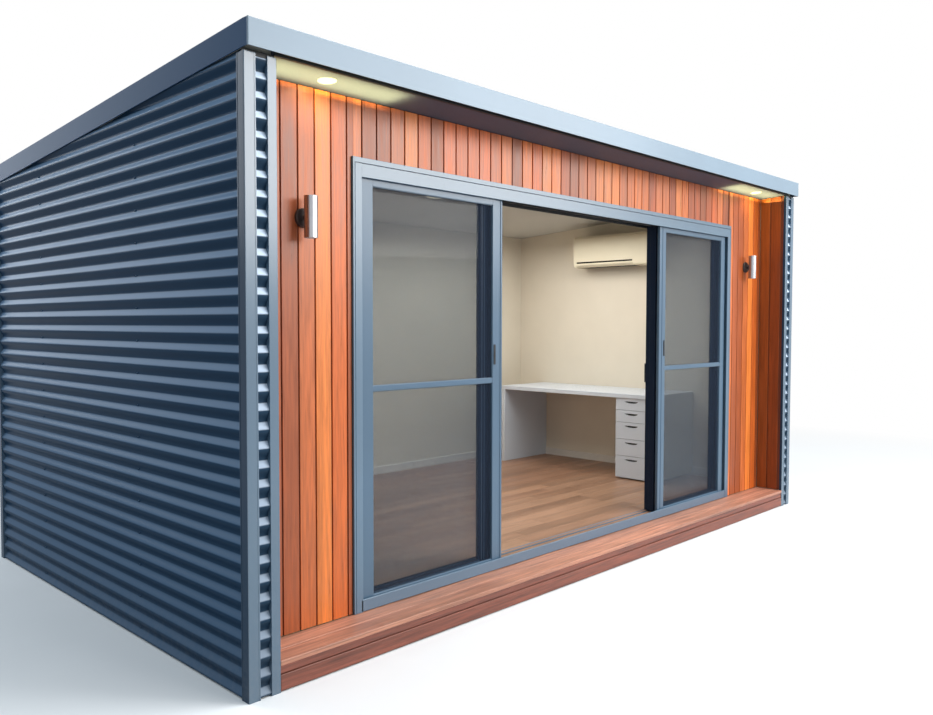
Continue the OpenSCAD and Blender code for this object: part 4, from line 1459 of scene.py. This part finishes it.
class POD_OT_glass_leaves(bpy.types.Operator):
    """Builds the two sliding glass leaves with their pull handles"""

    bl_idname = "pod.glass_leaves"
    bl_label = "Glass Leaves"

    def execute(self, context):
        door = context.scene.pod_door
        finishes, clear = panel_coats(door), [glazing("Clear glazing", door.glass)]
        for name, side in SIDES.items():
            node, glass_node, body = f"{name}_leaf_frame", f"{name}_leaf_glass", f"{name}_leaf"
            low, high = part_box(node)
            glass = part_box(glass_node)
            opening = rectangle(glass_node)
            back = glass[1].y + glass[0].y - low.y
            panel_low = Vector((low.x, low.y, panel_bottom(high.z)))
            panel_high = Vector((high.x, back, high.z))
            bm = bmesh.new()
            add_panel(bm, door, panel_low, panel_high, opening, (glass[0].y, glass[1].y))
            add_rollers(bm, door, low.z, panel_low, panel_high)
            stile = (opening[1], high.x) if side < 0 else (low.x, opening[0])
            self.add_pull(bm, door, sum(stile) / 2, low.y, back, high.y)
            self.add_interlock(bm, door, side, panel_low, panel_high)
            piece(f"{name}_leaf_panel", bm, finishes, [node], body)
            bm = bmesh.new()
            add_bar(bm, *glass, MM)
            piece(f"{name}_leaf_pane", bm, clear, [glass_node], body)
        return {"FINISHED"}

    def add_interlock(self, bm, door, side, low, high):
        """Fin on the leading stile that reaches forward to the plane of the fixed panels."""
        edge = high.x if side < 0 else low.x
        a, b = sorted((edge, edge + side * door.interlock_w))
        front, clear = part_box("fixed_frames")[0].y, 3 * MM
        add_bar(bm, (a, front, FLOOR_Z + clear), (b, low.y + MM, high.z), door.ease)

    def add_pull(self, bm, door, x, front, back, tip):
        """Black pull on the room side and a thin plate on the outer side."""
        t, half_w, half_h = door.pull_t, door.pull_t / 2, door.pull_h / 2
        low, high = door.pull_z - half_h, door.pull_z + half_h
        add_bar(bm, (x - half_w, tip - t, low), (x + half_w, tip, high), 3 * MM, 1)
        for z in (low, high - t):
            add_bar(bm, (x - half_w, back - MM, z), (x + half_w, tip - MM, z + t), 2 * MM, 1)
        half_w, plate_t = 11 * MM, 4 * MM
        corner = (x + half_w, front + MM, high)
        add_bar(bm, (x - half_w, front - plate_t, low), corner, 2 * MM, 1)


class POD_OT_insect_screens(bpy.types.Operator):
    """Builds the two sliding insect screens with their latches"""

    bl_idname = "pod.insect_screens"
    bl_label = "Insect Screens"

    def execute(self, context):
        door = context.scene.pod_door
        finishes = [screen_coat(door), black(door)]
        for name, side in SIDES.items():
            node, mesh_node, body = f"{name}_screen_frame", f"{name}_screen_mesh", f"{name}_screen"
            low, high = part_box(node)
            mesh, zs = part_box(mesh_node), levels(mesh_node, 2)
            front = mesh[0].y - (high.y - mesh[1].y)
            panel_low = Vector((low.x, front, panel_bottom(high.z)))
            panel_high = Vector((high.x, high.y, high.z))
            bm = bmesh.new()
            self.add_frame(bm, door, side, panel_low, panel_high, mesh, zs)
            add_rollers(bm, door, low.z, panel_low, panel_high)
            mesh_edge = mesh[1].x if side < 0 else mesh[0].x
            self.add_latch(bm, door, mesh_edge - side * door.latch_w, low.y, front)
            piece(f"{name}_screen_panel", bm, finishes, [node], body)
            bm = bmesh.new()
            self.add_cloth(bm, mesh, zs)
            cloth = [insect_mesh("Insect mesh", door.mesh, door.cover)]
            piece(f"{name}_screen_cloth", bm, cloth, [mesh_node], body)
        return {"FINISHED"}

    def add_cloth(self, bm, mesh, zs):
        """Thin sheets of mesh over and under the middle rail."""
        inset = 0.7 * MM
        for a, b in (zs[:2], zs[2:]):
            corner = (mesh[1].x, mesh[1].y - inset, b)
            add_bar(bm, (mesh[0].x, mesh[0].y + inset, a), corner, 0.2 * MM)

    def add_frame(self, bm, door, side, low, high, mesh, zs):
        """Stiles, rails and the cord that holds the mesh."""
        x0, x1 = mesh[0].x, mesh[1].x
        tuck, cord = 0.4 * MM, 3 * MM
        outer = (low.x, x0) if side < 0 else (x1, high.x)
        add_bar(bm, (outer[0], low.y, low.z), (outer[1], high.y, high.z), door.ease)
        for a, b in ((low.z, zs[0]), (zs[1], zs[2]), (zs[3], high.z)):
            add_bar(bm, (x0 - tuck, low.y + tuck, a), (x1 + tuck, high.y - tuck, b), door.ease)
        y0, y1 = low.y + 5 * MM, mesh[0].y - 0.5 * MM
        for a, b in (zs[:2], zs[2:]):
            add_ring(bm, (x0, x1, a, b), [(-MM, y0), (cord, y0 + MM), (cord, y1), (-MM, y1)])
        self.add_lead_stile(bm, door, side, low, high, x1 if side < 0 else x0)

    def add_lead_stile(self, bm, door, side, low, high, mesh_x):
        """Leading stile with a flat face, a finger groove and a rounded nose."""
        w, d = abs((high.x if side < 0 else low.x) - mesh_x), door.grip_d
        face, grip = door.face_w, door.face_w + door.grip_w
        section = rounded([
            (0, low.y), (face, low.y), (face + d / 2, low.y + d), (grip, low.y + d),
            (grip + d / 2, low.y), (w, low.y, 5 * MM), (w, high.y), (0, high.y),
        ], door.ease)
        add_prism(bm, section, lambda a, b, t: (mesh_x - side * a, b, t), [low.z, high.z])

    def add_latch(self, bm, door, x, tip, front):
        """Latch plate with a small lever."""
        half_w, half_h, z = door.latch_w / 2, door.latch_h / 2, door.latch_z
        corner = (x + half_w, front + MM, z + half_h)
        add_bar(bm, (x - half_w, tip + MM, z - half_h), corner, 2 * MM, 1)
        half_w, half_h = 3 * MM, 18 * MM
        corner = (x + half_w, tip + 2 * MM, z + half_h)
        add_bar(bm, (x - half_w, tip, z - half_h), corner, MM, 1)


# Room


class POD_OT_room(bpy.types.Operator):
    """Builds the floor planks and skirting and paints the linings"""

    bl_idname = "pod.room"
    bl_label = "Room"
    seed = 11

    def execute(self, context):
        room = context.scene.pod_room
        for node, name, base in (
            ("inner_linings", "Wall paint", room.wall),
            ("ceiling_lining", "Ceiling paint", room.ceiling),
        ):
            dress(node, plain(name, base, 0.7, grain=240.0, depth=0.0003, spread=0.02))
        self.build_floor(room)
        self.build_skirting(room)
        return {"FINISHED"}

    def build_floor(self, room):
        """Rows of planks whose first lengths are cut at random."""
        low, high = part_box("floor_boards")
        picks = random.Random(self.seed)
        joint, bevel, shortest = 0.4 * MM, 0.9 * MM, 0.15
        bm = bmesh.new()
        y = low.y
        while y < high.y - bevel:
            y1 = min(high.y, y + room.plank_w)
            x, x1 = low.x, low.x + room.plank_l * picks.uniform(0.25, 1.0)
            while x < high.x - bevel:
                if high.x - x1 < shortest:
                    x1 = high.x
                corner = (x1 - joint, y1 - joint, high.z)
                add_bar(bm, (x + joint, y + joint, low.z), corner, bevel)
                x, x1 = x1, x1 + room.plank_l
            y = y1
        piece("oak_floor_planks", bm, [oak(room)], ["floor_boards"])

    def build_skirting(self, room):
        """Skirting on the side and back walls, broken by the desk's end panel and drawers."""
        low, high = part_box("skirting")
        t, h = room.skirting_t, high.z - low.z
        outline = rounded([(0, 0, 0), (t, 0), (t, h, 6 * MM), (0, h)], MM, 4)
        drawers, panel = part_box("drawer_unit"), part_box("desk_end_panel")
        right_runs = ((low.y, drawers[0].y), (drawers[1].y, panel[0].y), (panel[1].y, high.y))
        bm = bmesh.new()
        for side, runs in ((-1, ((low.y, high.y),)), (1, right_runs)):
            for run in runs:
                add_prism(bm, outline, lambda a, b, y: (side * (ROOM_X - a), y, low.z + b), run)
        ends = [low.x + t, high.x - t]
        add_prism(bm, outline, lambda a, b, x: (x, high.y - a, low.z + b), ends)
        paint = plain("Skirting gloss", room.skirting, 0.25)
        piece("skirting_boards", bm, [paint], ["skirting"])


class POD_OT_lights(bpy.types.Operator):
    """Builds the two wall lights and the ceiling light"""

    bl_idname = "pod.lights"
    bl_label = "Lights"

    def execute(self, context):
        room = context.scene.pod_room
        low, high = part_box("wall_lights")
        r, plate_r = room.tube_d / 2, room.plate_d / 2
        x, z, out = high.x - plate_r, (low.z + high.z) / 2, TIMBER_Y - low.y - r
        tube, lens = self.tube_profiles(r, (high.z - low.z) / 2)
        plate = self.plate_profile(plate_r, out - r + 2 * MM)
        bm = bmesh.new()
        for side in SIDES.values():
            axis = (side * x, TIMBER_Y - out, z)
            add_turned(bm, tube, facing(axis, (0, 0, 1)), 48)
            for turn in (-1, 1):
                add_turned(bm, lens, facing(axis, (0, 0, turn)), 40, 1)
            add_turned(bm, plate, facing((side * x, TIMBER_Y, z), (0, -1, 0)), 48, 2)
        finishes = [
            brushed_steel("Brushed stainless steel", room.steel),
            lit_lens("Wall light lens", (0.9, 0.88, 0.8), 0.5),
            plain("Dark fixing plate", (0.045, 0.035, 0.035), 0.3, spread=0.08),
        ]
        piece("wall_light_tubes", bm, finishes, ["wall_lights"])
        self.build_ceiling_light()
        return {"FINISHED"}

    def tube_profiles(self, r, half):
        """Tube with a deep recess at each end, and the lens that sits in it."""
        rim, deep, ease = r - 3.5 * MM, half - 12 * MM, 0.6 * MM
        tube = [
            (0, -deep), (rim, -deep), (rim, -half), (r, -half + ease), (r, half - ease),
            (rim, half), (rim, deep), (0, deep),
        ]
        front = deep + 3 * MM
        return tube, [(0, deep), (rim, deep), (rim - 4 * MM, front), (0, front)]

    def plate_profile(self, r, tip):
        """Round plate on the timber with the arm that carries the tube."""
        arm_r, boss = 10.5 * MM, 14 * MM
        return [
            (0, -MM), (r, -MM), (r, 8 * MM), (r - 3 * MM, 12.5 * MM), (r - 8 * MM, boss),
            (boss, boss), (arm_r, 18 * MM), (arm_r, tip), (0, tip),
        ]

    def build_ceiling_light(self):
        """Round base on the ceiling with an opal dome."""
        low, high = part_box("ceiling_light")
        r, y = (high.x - low.x) / 2, (low.y + high.y) / 2
        h = high.z - low.z - FALL * 2 * r
        base_h, dome_r = 16 * MM, r - 8 * MM
        matrix = facing((0, y, (low.z + high.z) / 2 + h / 2), (0, -FALL, -1))
        base = [(0, 0), (r, 0), (r, 12 * MM), (r - 6 * MM, base_h), (0, base_h)]
        bm = bmesh.new()
        add_turned(bm, base, matrix, 56, 1)
        turns = [math.radians(a) for a in range(0, 90, 10)]
        dome = [(dome_r * math.cos(a), base_h + (h - base_h) * math.sin(a)) for a in turns]
        add_turned(bm, [(0, base_h - 0.5 * MM)] + dome + [(0, h)], matrix, 56)
        finishes = [
            lit_lens("Opal diffuser", (0.95, 0.88, 0.72), 0.8),
            plain("Light base", (0.75, 0.74, 0.7), 0.4),
        ]
        piece("opal_ceiling_light", bm, finishes, ["ceiling_light"])


class POD_OT_air_conditioner(bpy.types.Operator):
    """Builds the wall unit of the air conditioner"""

    bl_idname = "pod.air_conditioner"
    bl_label = "Air Conditioner"
    # Ends of the outlet as shares of the unit's width, and heights of its slot
    outlet = (0.04, 0.8)
    slot = (36 * MM, 53 * MM)
    fins = 9

    def execute(self, context):
        room = context.scene.pod_room
        low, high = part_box("air_conditioner")
        d, h, width = high.x - low.x, high.z - low.z, high.y - low.y
        end, start = (high.y - width * share for share in self.outlet)

        def place(a, b, t):
            return (high.x + a, t, low.z + b)

        bm = bmesh.new()
        add_prism(bm, self.outline(d, h, 6 * MM), place, [low.y + MM, high.y - MM], 1)
        for y0, y1 in ((low.y, start), (end, high.y)):
            add_prism(bm, self.outline(d, h, 0.0), place, [y0, y1])
        add_prism(bm, self.outline(d, h, 0.0, self.slot[1]), place, [start, end])
        add_prism(bm, self.flap(d), place, [start + 2 * MM, end - 2 * MM])
        self.add_fins(bm, low, high, d)
        white = plain("Appliance plastic", room.appliance, 0.35, spread=0.01)
        dark = plain("Dark vent", (0.02, 0.018, 0.014), 0.6)
        piece("air_conditioner_unit", bm, [white, dark], ["air_conditioner"])
        return {"FINISHED"}

    def outline(self, d, h, inset, bottom=0.0):
        """Section of the unit, counted outwards from the wall and up from its bottom."""
        chin, bevel = self.slot[0], 20 * MM
        points = [(0, h - inset), (0, bottom + inset), (-d * 0.73, bottom + inset)]
        if bottom < chin:
            points.append((-d * 0.93, bottom + inset + 8 * MM))
        points += [(-d + inset, max(bottom, chin) + inset), (-d + inset, h - bevel)]
        return points + [(-d + bevel, h - inset)]

    def flap(self, d):
        """Section of the curved flap under the outlet."""
        top = self.slot[0]
        return [
            (-d, top), (-d + MM, top + 2 * MM), (-d + 8 * MM, top), (-d + 9 * MM, 26 * MM),
            (-d * 0.9, 12 * MM), (-d * 0.8, 5 * MM), (-d * 0.8, MM), (-d * 0.9, 6 * MM),
            (-d + MM, 24 * MM),
        ]

    def add_fins(self, bm, low, high, d):
        """Dark slots of the air inlet on top of the unit."""
        fin_w, pitch, ends = 4 * MM, 14 * MM, 50 * MM
        for i in range(self.fins):
            x = high.x - d * 0.25 - i * pitch
            corner = (x + fin_w, high.y - ends, high.z + 1.5 * MM)
            add_bar(bm, (x, low.y + ends, high.z - MM), corner, 0.6 * MM, 1)


class POD_OT_desk(bpy.types.Operator):
    """Builds the desk top, its end panel and the drawer unit"""

    bl_idname = "pod.desk"
    bl_label = "Desk"
    # Heights of the drawers compared with each other, from the top down
    drawer_shares = (104, 104, 145, 145, 189)

    def execute(self, context):
        room = context.scene.pod_room
        finishes = [
            plain("White laminate", room.laminate, 0.3, spread=0.015),
            plain("Dark recess", (0.01, 0.01, 0.01), 0.7),
        ]
        for node in ("desk_top", "desk_end_panel"):
            bm = bmesh.new()
            add_bar(bm, *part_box(node), 1.5 * MM)
            piece(f"{node}_board", bm, finishes[:1], [node])
        low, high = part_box("drawer_unit")
        plinth_x, plinth_z = levels("drawer_unit", 0)[1], levels("drawer_unit", 2)[1]
        plinth_y = levels("drawer_unit", 1)
        front_t, gap = 18 * MM, 1.5 * MM
        bm = bmesh.new()
        add_bar(bm, (low.x + front_t + 2 * MM, low.y, plinth_z), high, MM)
        add_bar(bm, (plinth_x, plinth_y[1], low.z), (high.x, plinth_y[2], plinth_z), MM)
        z = high.z
        for share in self.drawer_shares:
            z0 = z - (high.z - plinth_z) * share / sum(self.drawer_shares)
            corners = (low.x, low.y + gap, z0 + gap), (low.x + front_t, high.y - gap, z - gap)
            self.add_front(bm, *corners)
            z = z0
        piece("drawer_unit_fronts", bm, finishes, ["drawer_unit"])
        return {"FINISHED"}

    def add_front(self, bm, low, high):
        """Drawer front with a crescent finger slot near its top edge."""
        half, depth, middle = 64 * MM, 17 * MM, (low[1] + high[1]) / 2 + 25 * MM
        top = high[2] - 26 * MM
        turns = [math.pi * i / 12 for i in range(13)]
        arc = [(middle + half * math.cos(a), top - depth * math.sin(a)) for a in turns]
        lower = [(low[1], low[2]), (high[1], low[2]), (high[1], top)] + arc + [(low[1], top)]
        upper = [(low[1], top), (high[1], top), (high[1], high[2]), (low[1], high[2])]
        for outline in (lower, upper):
            add_prism(bm, outline, along_x, [low[0], high[0]])
        # a near-black block behind the slot paints the shade inside it
        behind = (high[0] - 3 * MM, middle - half - MM, top - depth - MM)
        corner = (high[0] + MM, middle + half + MM, top + MM)
        add_bar(bm, behind, corner, 0.5 * MM, 1)


class POD_OT_base(bpy.types.Operator):
    """Gives the base, floor deck and wall cores their finishes"""

    bl_idname = "pod.base"
    bl_label = "Base and Walls"

    def execute(self, context):
        dress("side_rails", plain("Base paint", (0.05, 0.055, 0.065), 0.5))
        pine = lengthwise("Sawn pine", (0.42, 0.3, 0.18), 0.75)
        for node in ("floor_joists", "threshold_beam", "step_blocks_row", "floor_deck"):
            dress(node, pine)
        core = plain("Wall core", (0.62, 0.58, 0.5), 0.85, grain=120.0, depth=0.0006, spread=0.08)
        for node in ("left_wall", "right_wall", "back_wall"):
            dress(node, core)
        for part in ("left", "right", "header"):
            dress(f"front_wall_{part}", core)
        return {"FINISHED"}


# Stage


def add_lamp(name, place, target, watts, size, tone=(1.0, 1.0, 1.0), seen=True):
    """Soft rectangular lamp. One that isn't seen leaves no mirror image of itself."""
    data = bpy.data.lights.new(name, "AREA")
    data.shape = "RECTANGLE"
    data.size, data.size_y = size
    data.energy = watts
    data.color = tone
    lamp = bpy.data.objects.new(name, data)
    bpy.context.scene.collection.objects.link(lamp)
    lamp.location = place
    lamp.rotation_euler = (Vector(target) - Vector(place)).to_track_quat("-Z", "Y").to_euler()
    lamp.visible_camera = False
    lamp.visible_glossy = seen
    lamp.visible_transmission = False


class POD_OT_stage(bpy.types.Operator):
    """Sets up the floor, the lamps, the backdrop and the camera"""

    bl_idname = "pod.stage"
    bl_label = "Stage"

    def execute(self, context):
        stage = context.scene.pod_stage
        self.build_floor(stage)
        self.build_world(context.scene, stage)
        self.build_lamps(stage)
        self.build_soffit_lamps(stage)
        self.build_camera(context.scene, stage)
        context.scene.view_settings.view_transform = "Standard"
        return {"FINISHED"}

    def build_floor(self, stage):
        """Pale floor that fades to the white of the backdrop away from the pod."""
        size, level = 60.0, -0.5 * MM
        bm = bmesh.new()
        corners = ((-size, -size), (size, -size), (size, size), (-size, size))
        bm.faces.new([bm.verts.new((x, y, level)) for x, y in corners])
        mesh = bpy.data.meshes.new("studio_floor")
        bm.to_mesh(mesh)
        bm.free()
        finish = Finish("Studio floor", stage.floor, 0.9, Specular_IOR_Level=0.1)
        rays = finish.add("LightPath").outputs
        pale = finish.tones(finish.noise(finish.place(), 2.0, 2.0), stage.floor, 0.01)
        finish.base(finish.mix(rays["Is Diffuse Ray"], pale, stage.bounce))
        spot = finish.add("TexCoord").outputs["Object"]
        far = finish.add("VectorMath", {0: spot}, operation="LENGTH").outputs["Value"]
        fade = finish.span(far, stage.fade_start, stage.fade_end, 0.0, 1.0)
        rest = finish.math("MAXIMUM", rays["Is Glossy Ray"], rays["Is Transmission Ray"])
        seen = finish.math("MULTIPLY", fade, finish.math("MAXIMUM", rays["Is Camera Ray"], rest))
        white = finish.add("Emission", {"Color": (1.0, 1.0, 1.0), "Strength": 1.0}).outputs[0]
        finish.instead(seen, white)
        mesh.materials.append(finish.material)
        floor = bpy.data.objects.new("studio_floor", mesh)
        bpy.context.scene.collection.objects.link(floor)

    def build_world(self, scene, stage):
        """Soft light from all round, seen as plain white by the camera and through the glass."""
        world = bpy.data.worlds.new("Studio")
        scene.world = world
        world.use_nodes = True
        nodes, links = world.node_tree.nodes, world.node_tree.links
        soft = nodes["Background"]
        soft.inputs["Color"].default_value = (*stage.sky_tint, 1.0)
        soft.inputs["Strength"].default_value = stage.sky
        white = nodes.new("ShaderNodeBackground")
        white.inputs["Color"].default_value = (1.0, 1.0, 1.0, 1.0)
        seen = nodes.new("ShaderNodeLightPath").outputs
        mix = nodes.new("ShaderNodeMixShader")
        factor = seen["Is Camera Ray"]
        for ray in ("Is Glossy Ray", "Is Transmission Ray"):
            either = nodes.new("ShaderNodeMath")
            either.operation = "MAXIMUM"
            links.new(factor, either.inputs[0])
            links.new(seen[ray], either.inputs[1])
            factor = either.outputs[0]
        links.new(factor, mix.inputs[0])
        links.new(soft.outputs[0], mix.inputs[1])
        links.new(white.outputs[0], mix.inputs[2])
        links.new(mix.outputs[0], nodes["World Output"].inputs["Surface"])

    def build_lamps(self, stage):
        """Wide soft lamps outside the pod and one under the ceiling of the room."""
        front, side_wall = (-1.0, -1.4, 1.6), (-2.5, 0.0, 1.3)
        ceiling, floor = (0.9, 0.1, 2.3), (0.9, 0.1, 0.0)
        cool, warm = (0.88, 0.94, 1.0), (1.0, 0.97, 0.93)
        add_lamp("Key lamp", (3.2, -8.6, 4.4), front, stage.key, (9.5, 3.8), warm)
        add_lamp("High lamp", (1.7, -4.5, 7.5), front, stage.high, (4.0, 3.0), (0.97, 0.99, 1.0))
        add_lamp("Edge lamp", (-5.4, 8.4, 5.2), side_wall, stage.edge, (6.0, 4.6), cool)
        white = (1.0, 0.98, 0.94)
        add_lamp("Room lamp", ceiling, floor, stage.room, (2.0, 1.4), white, False)

    def build_soffit_lamps(self, stage):
        """Glow on the soffit round each downlight, and the light it casts on the boards."""
        low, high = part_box("soffit_downlights")
        y, glow_x, boards_x = (low.y + high.y) / 2, 2.05, 2.2
        glow_z, lens_z = eave(y) - 40 * MM, eave(y) - 10 * MM
        yellow, warm = (1.0, 0.92, 0.4), (1.0, 0.9, 0.72)
        for side in SIDES.values():
            x = side * glow_x
            up = (x, y, glow_z + 1)
            add_lamp("Soffit glow", (x, y, glow_z), up, stage.glow, (0.75, 0.15), yellow, False)
            lens, boards = (side * high.x, y, lens_z), (side * boards_x, TIMBER_Y, 1.6)
            add_lamp("Downlight", lens, boards, stage.spill, (0.07, 0.07), warm, False)

    def build_camera(self, scene, stage):
        """Camera turned by its heading, pitch and roll."""
        level = math.cos(stage.pitch)
        across, ahead = math.sin(stage.heading), math.cos(stage.heading)
        forward = Vector((across * level, ahead * level, math.sin(stage.pitch)))
        right = Vector((ahead, -across, 0.0))
        up = right.cross(forward)
        c, s = math.cos(stage.roll), math.sin(stage.roll)
        right, up = c * right + s * up, c * up - s * right
        data = bpy.data.cameras.new("Camera")
        data.sensor_width = 36.0
        data.lens = stage.lens
        camera = bpy.data.objects.new("Camera", data)
        scene.collection.objects.link(camera)
        turn = Matrix((right, up, -forward)).transposed().to_4x4()
        camera.matrix_world = Matrix.Translation(stage.camera) @ turn
        scene.camera = camera


OPERATORS = (
    POD_OT_side_cladding, POD_OT_end_strips, POD_OT_corner_trims, POD_OT_roof_edges,
    POD_OT_roof_sheet, POD_OT_rainwater, POD_OT_timber_front, POD_OT_soffit_edge, POD_OT_step,
    POD_OT_door_frame, POD_OT_fixed_panels, POD_OT_glass_leaves, POD_OT_insect_screens,
    POD_OT_room, POD_OT_lights, POD_OT_air_conditioner, POD_OT_desk, POD_OT_base, POD_OT_stage,
)
GROUPS = {
    "pod_metal": PodMetal, "pod_timber": PodTimber, "pod_door": PodDoor, "pod_room": PodRoom,
    "pod_stage": PodStage,
}


class POD_PT_panel(bpy.types.Panel):
    """Lists the pod's pieces and settings"""

    bl_idname = "POD_PT_panel"
    bl_label = "Garden Office Pod"
    bl_space_type = "VIEW_3D"
    bl_region_type = "UI"
    bl_category = "Pod"

    def draw(self, context):
        for operator in OPERATORS:
            self.layout.operator(operator.bl_idname)
        for name, group in GROUPS.items():
            box = self.layout.box()
            box.label(text=group.__doc__)
            for key in group.__annotations__:
                box.prop(getattr(context.scene, name), key)


def register():
    """Adds the settings, the pieces' operators and the panel to Blender."""
    for group in GROUPS.values():
        bpy.utils.register_class(group)
    for name, group in GROUPS.items():
        setattr(bpy.types.Scene, name, PointerProperty(type=group))
    for cls in (*OPERATORS, POD_PT_panel):
        bpy.utils.register_class(cls)


def unregister():
    """Removes what register added."""
    for cls in (POD_PT_panel, *reversed(OPERATORS)):
        bpy.utils.unregister_class(cls)
    for name, group in GROUPS.items():
        delattr(bpy.types.Scene, name)
        bpy.utils.unregister_class(group)


def main():
    """Builds all pieces and the stage."""
    register()
    for operator in OPERATORS:
        group, name = operator.bl_idname.split(".")
        getattr(getattr(bpy.ops, group), name)()


if __name__ == "__main__":
    main()
